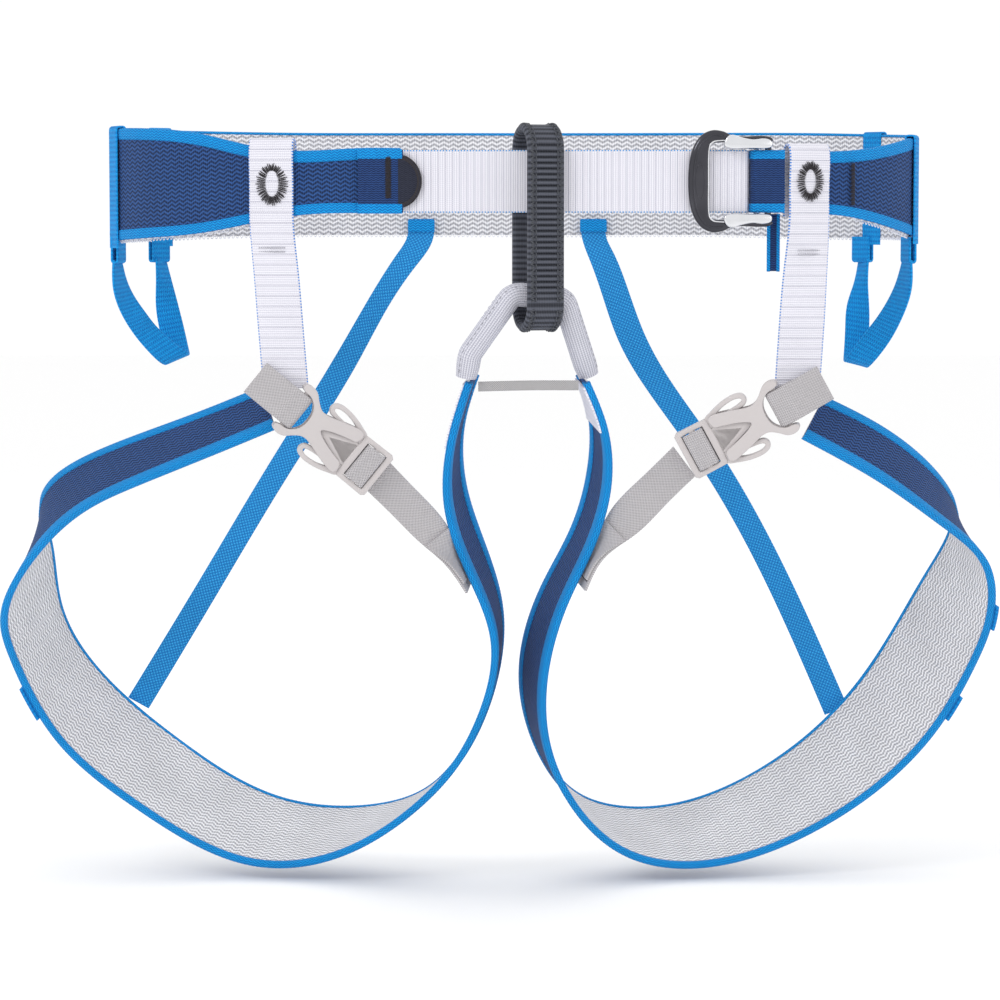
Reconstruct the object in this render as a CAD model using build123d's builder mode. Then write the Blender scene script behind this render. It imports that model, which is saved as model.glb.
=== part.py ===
"""Light climbing harness: a waist belt, two leg loops, a belay loop and their buckles.

+X is to the right as seen from the front, +Y away from the viewer, +Z up. The origin is at the centre of the
waist opening, at the belt's mid-height. Sizes are in millimetres.
"""
import os

from build123d import *

# Webbing
WEBBING = 1.2  # thickness of the outer webbing and of most straps
LINING = 0.8  # thickness of the inner mesh
LAYER_GAP = 0.2  # air between two sewn layers
EDGE = 4.5  # width of a coloured edge binding
SEAM = 0.1  # gap between a binding and the webbing beside it
LINING_LIFT = -LAYER_GAP - LINING / 2
PATCH = 0.8  # thickness of a patch or wrap sewn on the outer webbing
PATCH_LIFT = WEBBING + 0.35 + PATCH / 2
INNER_PATCH_LIFT = -LAYER_GAP - LINING - 0.35 - PATCH / 2  # the same on the lining

# Waist strap and buckle. The buckle's plane faces out of the belt, with x towards its right end.
STRAP_HEIGHT = 25.0
STRAP_LIFT = -1.2  # the strap's middle surface behind the frame's back face
FRAME_LEFT, FRAME_RIGHT = -16.0, 18.0
FRAME_HALF = 20.4
FRAME_THICKNESS = 3.0
WINDOW_LEFT, WINDOW_RIGHT = -7.5, 15.0
WINDOW_HALF = 15.5
BAR_BACK, BAR_FRONT = -4.2, -2.4  # the slider's two bars
RAIL_INNER, RAIL_OUTER = 13.0, 15.0  # the slider's side rails
EAR_OUTER = 18.7
BUCKLE_ORIGIN = Vector(88, -66, 0)
BUCKLE_RIGHT = Vector(0.989, 0.148, 0)
BUCKLE_OUT = Vector(0.148, -0.989, 0)
BUCKLE_PLANE = Plane(origin=BUCKLE_ORIGIN, x_dir=BUCKLE_RIGHT, z_dir=BUCKLE_OUT)

# Risers
RISER_WIDTH = 18.4
RISER_OFFSET = 2.5  # from the belt's rail to the middle of the riser's layer, on both faces

# Belay loop and tie-in loop
BELAY_WIDTH, BELAY_HEIGHT, BELAY_DEPTH, BELAY_THICKNESS = 15.5, 83.0, 22.0, 3.4
BELAY_PLANE = Plane(origin=(12, -63, -18.5), x_dir=(0.316, -0.949, 0), z_dir=(-0.949, -0.316, 0))
BELAY_STITCH_AT = 5.0
TIE_IN_RADIUS, TIE_IN_BORE, TIE_IN_CORE_RADIUS = 4.6, 3.2, 3.0
TIE_IN_BEND = 6.0
TIE_IN_PLANE = Plane(origin=(8.5, -63, -46), x_dir=(0.97, 0.24, 0), z_dir=(0.23, -0.94, -0.25))

# Side-release buckles, each in its own plane: x runs from the socket's bar to the plug's ladder
BAR_RADIUS = 1.6
PLATE_OUTER, PLATE_INNER = 3.4, 2.2  # faces of the socket's two plates
PLUG_HALF = 1.8
LADDER_HALF = 2.2
LADDER_START, LADDER_END, LADDER_SIDE = 28.5, 43.5, 10.3
STRUT_END = 28.8  # the V strut between the arms runs into the ladder
SIDE_WEBBING_WIDTH = 15.0
LEFT_SIDE_PLANE = Plane(origin=(-85.5, -65.5, -91.5), x_dir=(0.76, 0.15, -0.63), z_dir=(0.15, -0.98, -0.05))
RIGHT_SIDE_PLANE = Plane(origin=(109.5, -65.5, -90.5), x_dir=(-0.87, 0.15, -0.47), z_dir=(-0.13, -0.99, -0.08))

# Waist belt, from its left front end round the back to its right front end: x, y, bottom, top
BELT = [
    (-43, -62, -13, 13), (-60, -62, -13, 13), (-85, -60, -14, 12), (-105, -56, -17.5, 14.5),
    (-124, -49, -21, 19), (-146, -36, -23, 21.5), (-160, -18, -24, 22), (-165, 2, -24, 22),
    (-158, 28, -24, 22.5), (-135, 48, -23, 22.5), (-90, 60, -22, 22), (-45, 64, -22, 22),
    (2, 65, -22, 22), (49, 64, -22, 22), (94, 60, -22, 22), (139, 48, -23, 21.5),
    (162, 28, -23, 20.5), (169, 2, -23, 19.5), (166, -16, -22, 18), (153, -36, -18, 14.5),
    (134, -51, -14, 12), (114, -60, -13, 12),
]
BELT_COUNT = 64
LINING_STATIONS = slice(6, 62)
LEFT_WRAPS, RIGHT_WRAPS = (13, 19), (56, 51)  # belt stations at each side fold and each back tab

# Leg loops, from the riser round the thigh to the tie-in loop: front rim, then back rim
LEFT_LEG = [
    (-94, -60, -99, -100, -40, -84), (-118, -57, -109, -127, -35, -95),
    (-154, -46, -124, -166, -20, -110), (-190, -24, -147, -196, 6, -132),
    (-211, -8, -177, -195, 21, -155), (-210, 3, -200, -194, 40, -181),
    (-192, 17, -238, -176, 56, -216), (-160, 23, -267, -144, 62, -245),
    (-113, 26, -292, -98, 64, -271), (-66, 15, -284, -51, 48, -270),
    (-34, 0, -259, -27, 31, -255), (-12, -19, -224, -8, 8, -218),
    (-6, -33, -188, -3, -8, -181), (-20, -48, -150, -12, -26, -145),
    (-25, -54, -130, -18, -33, -125), (-23, -58, -104, -19, -39, -99),
    (-16, -60, -81, -13, -43, -78),
]
RIGHT_LEG = [
    (119, -60, -103, 129, -41, -88), (148, -53, -119, 157, -31, -103),
    (180, -36, -141, 185, -6, -130), (200, -18, -160, 188, 14, -148),
    (203, -6, -184, 180, 31, -168), (198, 3, -202, 173, 43, -184),
    (182, 15, -234, 157, 53, -213), (137, 25, -275, 119, 64, -253),
    (85, 24, -293, 71, 65, -274), (49, 14, -285, 37, 47, -269),
    (23, -5, -253, 16, 26, -247), (15, -22, -215, 6, 4, -209),
    (24, -40, -172, 16, -16, -166), (34, -49, -149, 27, -27, -143),
    (41, -56, -122, 34, -36, -116), (39, -59, -99, 34, -40, -94),
    (32, -60, -81, 29, -43, -78),
]
LEG_COUNT = 48

# Adjust webbing of each leg loop, from behind the plug to the lining of the inner thigh: upper, then lower edge
LEFT_ADJUST = [
    (-50, -55, -111, -59, -56, -123), (-37, -52, -125, -46, -53, -136), (-25, -50, -139, -35, -52, -147),
    (-20, -40, -152, -25, -50, -156), (-15, -33, -163, -17, -43, -168),
]
RIGHT_ADJUST = [
    (67, -54, -107, 76, -55, -119), (54, -52, -120, 64, -53, -131), (42, -50, -133, 52, -52, -143),
    (35, -40, -149, 39, -50, -153), (28, -33, -163, 32, -44, -167),
]

# Gear loops, from the side tab down and up to the back tab: outer edge, then inner edge
LEFT_GEAR = [
    (-163, -15.5, -32, -160.7, -6.5, -32), (-163.5, -10.5, -44, -158.5, 1, -43), (-160.5, 0, -57, -152.5, 7, -54),
    (-154, 10, -68, -146, 16, -63), (-146, 18, -77, -136, 21, -72), (-146, 27, -75, -136, 29, -72),
    (-149, 33, -64, -139, 36, -62), (-151, 34, -52, -142, 38, -51), (-151, 34, -42, -145, 41, -42),
    (-151, 33, -32, -148, 42, -32),
]
RIGHT_GEAR = [
    (168, -15.5, -32, 165.4, -6.5, -32), (168.5, -10.5, -44, 163, 1, -43), (165.5, 0, -57, 157.5, 7, -54),
    (160, 10, -69, 151, 15, -64), (154, 19, -77, 144, 22, -74), (154, 28, -75, 144, 30, -73),
    (155, 33, -64, 145, 36, -62), (155, 34, -52, 146, 38, -51), (154, 34, -42, 149, 41, -42),
    (154, 33, -32, 151, 42, -32),
]
GEAR_COUNT = 20

# Rear elastics, from the belt down to the back rim of each leg loop: one edge, then the other
LEFT_ELASTIC = [
    (-43, 61, -15, -32, 61, -15), (-43.5, 62, -22, -32.5, 62, -24), (-48, 62, -30, -39.5, 62, -35),
    (-73, 62, -71, -64.5, 62, -76), (-104.5, 63, -122, -96, 63, -127), (-135.5, 62, -173.5, -127, 62, -178.5),
    (-167, 62, -225, -158, 62, -230),
]
RIGHT_ELASTIC = [
    (32, 61, -15, 43, 61, -15), (32.5, 62, -23, 43, 62, -22), (36, 62, -33, 46, 62, -29),
    (49, 63, -69, 60, 63, -65), (78, 64, -113, 88, 64, -109), (140, 63, -233, 150, 63, -229),
]
ELASTIC = 1.0


def smooth(rails, count, start=0.0, end=1.0):
    """Evenly spaced stations on curves through both rails, from start to end as shares of their length."""
    firsts = [Vector(*rail[:3]) for rail in rails]
    seconds = [Vector(*rail[3:]) for rail in rails]
    middles = [(first + second) * 0.5 for first, second in zip(firsts, seconds)]
    lengths = [0.0]
    for here, there in zip(middles, middles[1:]):
        lengths.append(lengths[-1] + (there - here).length)
    shares = [length / lengths[-1] for length in lengths]
    curves = [Edge.make_spline(points, parameters=shares) for points in (firsts, seconds)]
    places = [start + (end - start) * i / count for i in range(count + 1)]
    return [tuple(curves[0] @ place) + tuple(curves[1] @ place) for place in places]


def sections(rails, facing):
    """Each station's first edge point, unit vectors across, out of and along the cloth, and its width. facing is
    1 or -1 and picks the side that the cloth's face looks to."""
    firsts = [Vector(*rail[:3]) for rail in rails]
    seconds = [Vector(*rail[3:]) for rail in rails]
    middles = [(first + second) * 0.5 for first, second in zip(firsts, seconds)]
    last = len(rails) - 1
    for i, (first, second) in enumerate(zip(firsts, seconds)):
        across = (second - first).normalized()
        chord = middles[min(i + 1, last)] - middles[max(i - 1, 0)]
        out = across.cross(chord).normalized() * facing
        along = out.cross(across) * facing
        yield first, across, out, along, (second - first).length


def ribbon(rails, facing, lift=0.0, thickness=WEBBING, side="full"):
    """Webbing that follows two rails. lift is from the rails to the cloth's middle surface. side is the full
    width, the middle between the two bindings, or one binding."""
    with BuildPart() as strip:
        for first, across, out, along, width in sections(rails, facing):
            spans = {
                "full": (0, width),
                "middle": (EDGE + SEAM, width - EDGE - SEAM),
                "first": (0, EDGE),
                "second": (width - EDGE, width),
            }
            low, high = spans[side]
            centre = first + across * ((low + high) / 2) + out * lift
            with BuildSketch(Plane(origin=centre, x_dir=across, z_dir=along)):
                Rectangle(high - low, thickness)
        loft(ruled=True)
    return strip.part


def folded(plane, points, radius, width, thickness=WEBBING):
    """Webbing of one width that follows a path in a plane. The width runs along the plane's normal."""
    with BuildPart() as strip:
        with BuildSketch(plane):
            with BuildLine():
                FilletPolyline(*points, radius=radius)
            trace(line_width=thickness)
        extrude(amount=width / 2, both=True)
    return strip.part


def plate(plane, length, height, thickness):
    """A flat rectangular patch that stands on a plane."""
    with BuildPart() as patch:
        with BuildSketch(plane):
            Rectangle(length, height)
        extrude(amount=thickness)
    return patch.part


def save(part, label):
    part.label = label
    export_step(part, f"parts/{label}.step")


def group(parts, label):
    """Several separate solids in one node."""
    save(Compound(children=list(parts)), label)


def in_buckle(x, lift):
    """A point of the buckle's plane, as x and y of the harness."""
    point = BUCKLE_ORIGIN + BUCKLE_RIGHT * x + BUCKLE_OUT * lift
    return point.X, point.Y


def side_view(plane):
    """The plane that shows a buckle from its side: x as before, and y out of its face."""
    return Plane(origin=plane.origin, x_dir=plane.x_dir, z_dir=plane.y_dir * -1)


os.makedirs("parts", exist_ok=True)

# ---- Waist belt ----
belt_rails = [(x, y, low, x, y, high) for x, y, low, high in BELT]
belt_stations = smooth(belt_rails, BELT_COUNT)
for label, side in (("outer_webbing", "middle"), ("edge_lower", "first"), ("edge_upper", "second")):
    save(ribbon(belt_stations, 1, WEBBING / 2, WEBBING, side), f"belt_{label}")
save(ribbon(belt_stations[LINING_STATIONS], 1, LINING_LIFT, LINING), "belt_inner_mesh")

# Gear loop webbing sewn up the belt: outside at each side fold, inside at each back tab
for name, side_place, back_place in (("left", *LEFT_WRAPS), ("right", *RIGHT_WRAPS)):
    wraps = []
    for place, lift in ((side_place, PATCH_LIFT), (back_place, INNER_PATCH_LIFT)):
        wraps.append(ribbon(belt_stations[place:place + 2], 1, lift, PATCH))
    group(wraps, f"belt_wraps_{name}")

# Patch at the left front end, with a rounded stiff tip
with BuildPart() as strap_patch:
    with BuildSketch(Plane(origin=(-47, -63.4, 0), x_dir=(1, 0, 0), z_dir=(0, -1, 0))):
        with Locations((-4, 0)):
            Rectangle(18, 25)
        with Locations((5, 0)):
            RectangleRounded(14, 21, 6.9)
    extrude(amount=PATCH)
save(strap_patch.part, "strap_end_patch")
bartack_plane = Plane(origin=(-48, -64.3, 1.5), x_dir=(1, 0, 0), z_dir=(0, -1, 0))
save(plate(bartack_plane, 2.8, 16.5, 0.4), "strap_end_bartack")

# ---- Waist strap, round the slider's left bar and back behind itself ----
strap_path = [
    (-80, -59.2), (-60, -60.9), (-42, -61.3), (-20, -62.7), (12, -64.3), (45, -66),
    in_buckle(-16, STRAP_LIFT), in_buckle(8.4, STRAP_LIFT), in_buckle(8.4, -5.4), in_buckle(-28, -6.6),
]
save(folded(Plane.XY, strap_path, 1.9, STRAP_HEIGHT), "waist_strap")

# ---- Waist buckle: frame that slides on the slider, and the webbing that holds the slider ----
with BuildPart() as frame:
    with BuildSketch(BUCKLE_PLANE):
        with Locations(((FRAME_LEFT + FRAME_RIGHT) / 2, 0)):
            RectangleRounded(FRAME_RIGHT - FRAME_LEFT, 2 * FRAME_HALF, 7)
        with Locations(((WINDOW_LEFT + WINDOW_RIGHT + 4) / 2, 0)):
            Rectangle(WINDOW_RIGHT - WINDOW_LEFT + 4, 2 * WINDOW_HALF, mode=Mode.SUBTRACT)
    extrude(amount=FRAME_THICKNESS)
    fillet(frame.faces().sort_by(Axis((88, -66, 0), tuple(BUCKLE_OUT)))[-1].edges(), 0.9)
    with BuildSketch(BUCKLE_PLANE.offset(-1.8)):
        with Locations(((WINDOW_RIGHT + FRAME_RIGHT) / 2, 0)):
            Rectangle(FRAME_RIGHT - WINDOW_RIGHT, 2 * FRAME_HALF - 8)
    extrude(amount=1.6)
    for end in (1, -1):
        with BuildSketch(BUCKLE_PLANE.offset(-0.3)):
            with Locations(((WINDOW_RIGHT + FRAME_RIGHT) / 2, end * (WINDOW_HALF + 0.4))):
                Rectangle(FRAME_RIGHT - WINDOW_RIGHT, 1.6)
        extrude(amount=1.2)
    with BuildSketch(BUCKLE_PLANE.offset(FRAME_THICKNESS)):
        with Locations((-11.6, 0)):
            RectangleRounded(4.2, 15, 2)
    extrude(amount=-0.5, mode=Mode.SUBTRACT)
save(frame.part, "buckle_frame")

with BuildPart() as slider:
    with BuildSketch(BUCKLE_PLANE.offset(BAR_BACK)):
        for left, right in ((2.0, 6.5), (11.0, 14.0)):
            with Locations(((left + right) / 2, 0)):
                Rectangle(right - left, 2 * RAIL_OUTER)
        for end in (1, -1):
            with Locations((6.5, end * (RAIL_INNER + RAIL_OUTER) / 2)):
                Rectangle(15, RAIL_OUTER - RAIL_INNER)
    extrude(amount=BAR_FRONT - BAR_BACK)
    for end in (1, -1):
        with BuildSketch(BUCKLE_PLANE.offset(BAR_FRONT)):
            with Locations((3.7, end * (RAIL_INNER + RAIL_OUTER) / 2)):
                Rectangle(9.4, RAIL_OUTER - RAIL_INNER)
        extrude(amount=FRAME_THICKNESS + 0.4 - BAR_FRONT)
        with BuildSketch(BUCKLE_PLANE.offset(FRAME_THICKNESS + 0.4)):
            with Locations((7.0, end * (RAIL_INNER + EAR_OUTER) / 2)):
                RectangleRounded(18, EAR_OUTER - RAIL_INNER, 2)
        extrude(amount=1.6)
save(slider.part, "buckle_slider")

anchor_path = [in_buckle(22.5, 1.0), in_buckle(10, 1.0), in_buckle(10, -5.4), in_buckle(20, -5.4)]
save(folded(Plane.XY, anchor_path, 1.5, STRAP_HEIGHT), "buckle_anchor_webbing")

# ---- Risers, folded over the belt's top edge ----
def riser_rails(belt_point, across, top, foot):
    """Edges of a riser from its inner tail over the belt and down to its foot."""
    across = Vector(*across).normalized()
    out = across.cross(Vector(0, 0, 1))
    path = [(-RISER_OFFSET, -14), (-RISER_OFFSET, top - 2.4)]
    path += [(-1.8, top - 0.7), (0, top), (1.8, top - 0.7)]
    path += [(RISER_OFFSET, top - 2.4), (RISER_OFFSET, -14)]
    centres = [Vector(*belt_point) + out * offset + Vector(0, 0, z) for offset, z in path]
    directions = [across] * len(centres)
    directions += [Vector(1, 0, 0)] * 2
    centres += [Vector(*foot) + (centres[-1] - Vector(*foot)) * 0.4, Vector(*foot)]
    half = RISER_WIDTH / 2
    return [tuple(c - d * half) + tuple(c + d * half) for c, d in zip(centres, directions)]


RISERS = {
    "left": riser_rails((-94.5, -58.4, 0), (0.98, -0.2, 0), 16.8, (-89.5, -61, -83)),
    "right": riser_rails((120, -57.5, 0), (0.912, 0.41, 0), 14.6, (116.5, -60.6, -85)),
}
for name, rails in RISERS.items():
    save(ribbon(rails, -1), f"riser_{name}")

# Bartack ring on each riser's face, and a short stitched line below it
TACKS = {
    "left": (Plane(origin=(-94.7, -61.7, -1), x_dir=(0.98, -0.2, 0), z_dir=(-0.2, -0.98, 0)), (13, 17)),
    "right": (Plane(origin=(121.4, -60.8, 0), x_dir=(0.912, 0.41, 0), z_dir=(0.41, -0.912, 0)), (12, 16)),
}
for name, (plane, (wide, tall)) in TACKS.items():
    with BuildPart() as ring:
        with BuildSketch(plane):
            Ellipse(wide / 2, tall / 2)
            Ellipse(wide / 2 - 3, tall / 2 - 3, mode=Mode.SUBTRACT)
        extrude(amount=0.4)
    save(ring.part, f"riser_bartack_{name}")

# ---- Belay loop ----
with BuildPart() as belay_loop:
    with BuildSketch(BELAY_PLANE):
        SlotOverall(BELAY_HEIGHT, BELAY_DEPTH, rotation=90)
        inner_height = BELAY_HEIGHT - 2 * BELAY_THICKNESS
        SlotOverall(inner_height, BELAY_DEPTH - 2 * BELAY_THICKNESS, rotation=90, mode=Mode.SUBTRACT)
    extrude(amount=BELAY_WIDTH / 2, both=True)
save(belay_loop.part, "belay_loop")

belay_rows = []
for offset in (-BELAY_STITCH_AT, BELAY_STITCH_AT):
    with BuildPart() as row:
        with BuildSketch(BELAY_PLANE.offset(offset)):
            SlotOverall(BELAY_HEIGHT + 0.8, BELAY_DEPTH + 0.8, rotation=90)
            SlotOverall(BELAY_HEIGHT + 0.1, BELAY_DEPTH + 0.1, rotation=90, mode=Mode.SUBTRACT)
        extrude(amount=0.4, both=True)
    belay_rows.append(row.part)
group(belay_rows, "belay_loop_stitching")

# ---- Tie-in loop: a woven sheath over a load-bearing core ----
TIE_IN_PATH = [(-24, -30), (-23, -24), (-7, 1), (14.5, -1), (25.5, -30)]
for label, outer, bore in (("sheath", TIE_IN_RADIUS, TIE_IN_BORE), ("core", TIE_IN_CORE_RADIUS, 0)):
    with BuildPart() as tube:
        with BuildLine(TIE_IN_PLANE) as route:
            FilletPolyline(*TIE_IN_PATH, radius=TIE_IN_BEND)
        with BuildSketch(Plane(origin=route.line @ 0, z_dir=route.line % 0)):
            Circle(outer)
            if bore:
                Circle(bore, mode=Mode.SUBTRACT)
        sweep()
    save(tube.part, f"tie_in_{label}")

crossbar_rails = [
    (-12, -58, -84.5, -12, -58, -80.5), (8, -58.5, -84, 8, -58.5, -80), (28.5, -58, -84, 28.5, -58, -80),
]
save(ribbon(smooth(crossbar_rails, 8), -1, 0, 1.0), "crossbar_elastic")

# ---- Leg loops ----
LEGS = {
    "left": (LEFT_LEG, 1, LEFT_ADJUST, LEFT_SIDE_PLANE),
    "right": (RIGHT_LEG, -1, RIGHT_ADJUST, RIGHT_SIDE_PLANE),
}
END_PATCHES = {"left": (0.955, INNER_PATCH_LIFT), "right": (0.965, PATCH_LIFT)}
TAB_SPANS = {"left": [(0.32, 0.345)], "right": [(0.22, 0.24), (0.30, 0.32)]}
for name, (rails, facing, adjust_rails, plane) in LEGS.items():
    stations = smooth(rails, LEG_COUNT)
    for label, side in (("outer_webbing", "middle"), ("edge_front", "first"), ("edge_back", "second")):
        save(ribbon(stations, facing, WEBBING / 2, WEBBING, side), f"leg_{name}_{label}")
    save(ribbon(stations, facing, LINING_LIFT, LINING), f"leg_{name}_inner_mesh")
    patch_start, patch_lift = END_PATCHES[name]
    save(ribbon(smooth(rails, 3, patch_start, 0.995), facing, patch_lift, PATCH), f"leg_{name}_end_patch")
    tabs = [ribbon(smooth(rails, 2, *span), facing, PATCH_LIFT, PATCH, "first") for span in TAB_SPANS[name]]
    group(tabs, f"leg_{name}_tab")
    save(ribbon(smooth(adjust_rails, 12), facing), f"leg_{name}_adjust_webbing")

    # Anchor webbing round the socket's bar, over the riser's foot
    anchor_path = [(-9, -3.2), (0, -2.6), (2.6, -2.6), (2.6, 2.6), (-5, 2.4), (-20, -5.2)]
    save(folded(side_view(plane), anchor_path, 2.0, SIDE_WEBBING_WIDTH), f"{name}_anchor_webbing")

    # Socket: two plates joined by the ears and a central rib, and the bar that carries the anchor webbing
    outline = [(-3, 8.2), (-3, 11), (2.5, 11.4), (8, 6.2), (27.5, 10), (28, 5.4), (12, 0)]
    mirrored = [(x, -y) for x, y in reversed(outline[:-1])]
    with BuildPart() as socket:
        for level in (PLATE_INNER, -PLATE_OUTER):
            with BuildSketch(plane.offset(level)):
                with BuildLine():
                    Polyline(*outline, *mirrored, (4, -8.2), (4, 8.2), close=True)
                make_face()
            extrude(amount=PLATE_OUTER - PLATE_INNER)
        with BuildSketch(plane.offset(-PLATE_INNER)):
            with Locations((6.0, 0)):
                Rectangle(4.0, 6.0)
            for end in (1, -1):
                with Locations((-0.25, end * 9.6)):
                    Rectangle(5.5, 2.8)
        extrude(amount=2 * PLATE_INNER)
        with BuildSketch(Plane(origin=plane.origin, x_dir=plane.x_dir, z_dir=plane.y_dir)):
            Circle(BAR_RADIUS)
        extrude(amount=8.4, both=True)
    save(socket.part, f"{name}_buckle_socket")

    # Plug: two sprung arms and an open V strut on a ladder frame
    arm = [(29, 4.8), (29, 9.8), (21, 12.6), (14, 13), (11.5, 10.6), (12, 8.2), (16, 7.4)]
    with BuildPart() as plug:
        with BuildSketch(plane.offset(-PLUG_HALF)):
            for end in (1, -1):
                with BuildLine():
                    Polyline(*[(x, y * end) for x, y in arm], close=True)
                make_face()
            with BuildLine():
                Polyline((STRUT_END, 6.5), (13, 0.9), (13, -0.9), (STRUT_END, -6.5), close=True)
            make_face()
            with BuildLine():
                Polyline((STRUT_END, 4.2), (18.5, 0), (STRUT_END, -4.2), close=True)
            make_face(mode=Mode.SUBTRACT)
        extrude(amount=2 * PLUG_HALF)
        with BuildSketch(plane.offset(-LADDER_HALF)):
            with Locations(((LADDER_START + LADDER_END) / 2, 0)):
                RectangleRounded(LADDER_END - LADDER_START, 2 * LADDER_SIDE, 1.2)
            for left, right in ((31.4, 35.0), (37.4, 40.8)):
                with Locations(((left + right) / 2, 0)):
                    Rectangle(right - left, 2 * 8.0, mode=Mode.SUBTRACT)
        extrude(amount=2 * LADDER_HALF)
    save(plug.part, f"{name}_buckle_plug")
    ladder_path = [(33.2, -2.0), (33.2, 3.1), (39.1, 3.1), (39.1, -2.0)]
    save(folded(side_view(plane), ladder_path, 1.0, SIDE_WEBBING_WIDTH, 1.1), f"{name}_ladder_webbing")

# ---- Rear elastics ----
for name, rails in (("left", LEFT_ELASTIC), ("right", RIGHT_ELASTIC)):
    save(ribbon(smooth(rails, 16), -1, 0, ELASTIC), f"rear_elastic_{name}")
    middle = (rails[0][0] + rails[0][3]) / 2
    tab_plane = Plane(origin=(middle, 60.2, -18), x_dir=(1, 0, 0), z_dir=(0, -1, 0))
    save(plate(tab_plane, 11, 5, 1.0), f"elastic_tab_{name}")

# ---- Gear loops and their tabs under the belt ----
GEAR = {
    "left": (LEFT_GEAR, ((-161.9, -11), (-149.5, 37.5)), ((0.25, 0.97, 0), (0.71, 0.71, 0))),
    "right": (RIGHT_GEAR, ((166.7, -11), (152.5, 37.5)), ((-0.28, 0.96, 0), (-0.71, 0.71, 0))),
}
TAB_TOP, TAB_BOTTOM = -24.5, -30.0
for name, (rails, places, directions) in GEAR.items():
    save(ribbon(smooth(rails, GEAR_COUNT), 1), f"gear_loop_{name}")
    tabs = []
    for (x, y), along in zip(places, directions):
        with BuildPart() as tab:
            with BuildSketch(Plane(origin=(x, y, TAB_BOTTOM), x_dir=along, z_dir=(0, 0, 1))):
                Rectangle(9.4, 2.6)
            extrude(amount=TAB_TOP - TAB_BOTTOM)
        tabs.append(tab.part)
    group(tabs, f"gear_loop_tabs_{name}")

# ---- Bartack of the right wing, and the tail tab behind the right riser ----
wing_plane = Plane(origin=(139.5, -50.2, -1), x_dir=(0.76, 0.65, 0), z_dir=(0.65, -0.76, 0))
save(plate(wing_plane, 2.2, 17, 0.4), "wing_bartack")
tail_plane = Plane(origin=(107, -55, -25), x_dir=(1, 0, 0), z_dir=(0, -1, 0))
save(plate(tail_plane, 4.5, 22, 1.0), "strap_tail_tab")
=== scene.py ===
"""Looks for the climbing harness: every strap, binding, stitch and buckle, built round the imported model.

Lengths in this file are millimetres, and metre() turns them into Blender's metres. +X is to the right as seen
from the front, +Y away from the viewer and +Z up.
"""
import math

import bmesh
import bpy
import numpy as np
from mathutils import Matrix, Vector


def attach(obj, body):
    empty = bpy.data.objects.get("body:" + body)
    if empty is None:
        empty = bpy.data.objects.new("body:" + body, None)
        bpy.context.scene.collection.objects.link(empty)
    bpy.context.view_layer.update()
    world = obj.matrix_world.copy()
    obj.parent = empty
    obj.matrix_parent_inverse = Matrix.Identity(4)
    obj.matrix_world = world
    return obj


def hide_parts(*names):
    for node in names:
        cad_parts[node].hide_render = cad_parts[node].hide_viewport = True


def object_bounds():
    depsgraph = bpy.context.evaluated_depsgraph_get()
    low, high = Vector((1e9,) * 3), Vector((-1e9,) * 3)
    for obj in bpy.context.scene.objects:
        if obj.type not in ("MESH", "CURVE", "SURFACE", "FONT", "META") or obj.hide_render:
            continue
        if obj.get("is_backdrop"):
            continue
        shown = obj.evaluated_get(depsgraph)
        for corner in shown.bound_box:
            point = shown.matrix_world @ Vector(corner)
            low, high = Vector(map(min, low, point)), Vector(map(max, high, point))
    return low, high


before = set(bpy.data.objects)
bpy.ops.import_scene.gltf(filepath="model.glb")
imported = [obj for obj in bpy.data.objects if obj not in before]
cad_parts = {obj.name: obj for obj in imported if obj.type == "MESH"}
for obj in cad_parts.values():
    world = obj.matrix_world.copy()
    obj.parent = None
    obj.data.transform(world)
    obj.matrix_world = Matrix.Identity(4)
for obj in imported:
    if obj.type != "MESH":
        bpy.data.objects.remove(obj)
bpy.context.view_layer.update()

# ---- Sizes shared with the CAD model ----
WEBBING = 1.2
LINING = 0.8
EDGE = 4.5
LINING_LIFT = -0.2 - LINING / 2
LINING_FACE = LINING_LIFT - LINING / 2
PATCH_LIFT = WEBBING + 0.75
INNER_PATCH_LIFT = -0.2 - LINING - 0.75
STRAP_HEIGHT = 25.0
RISER_WIDTH = 18.4
RISER_OFFSET = 2.5
BELAY_WIDTH, BELAY_HEIGHT, BELAY_DEPTH, BELAY_THICKNESS = 15.5, 83.0, 22.0, 3.4
TIE_IN_RADIUS = 4.6
SIDE_WEBBING_WIDTH = 15.0

BELT = [
    (-43, -62, -13, 13), (-60, -62, -13, 13), (-85, -60, -14, 12), (-105, -56, -17.5, 14.5),
    (-124, -49, -21, 19), (-146, -36, -23, 21.5), (-160, -18, -24, 22), (-165, 2, -24, 22),
    (-158, 28, -24, 22.5), (-135, 48, -23, 22.5), (-90, 60, -22, 22), (-45, 64, -22, 22),
    (2, 65, -22, 22), (49, 64, -22, 22), (94, 60, -22, 22), (139, 48, -23, 21.5),
    (162, 28, -23, 20.5), (169, 2, -23, 19.5), (166, -16, -22, 18), (153, -36, -18, 14.5),
    (134, -51, -14, 12), (114, -60, -13, 12),
]
LINING_SPAN = (6 / 64, 61 / 64)
WRAPS = {
    "left": ((13 / 64, 14 / 64), (19 / 64, 20 / 64)),
    "right": ((56 / 64, 57 / 64), (51 / 64, 52 / 64)),
}

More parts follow.
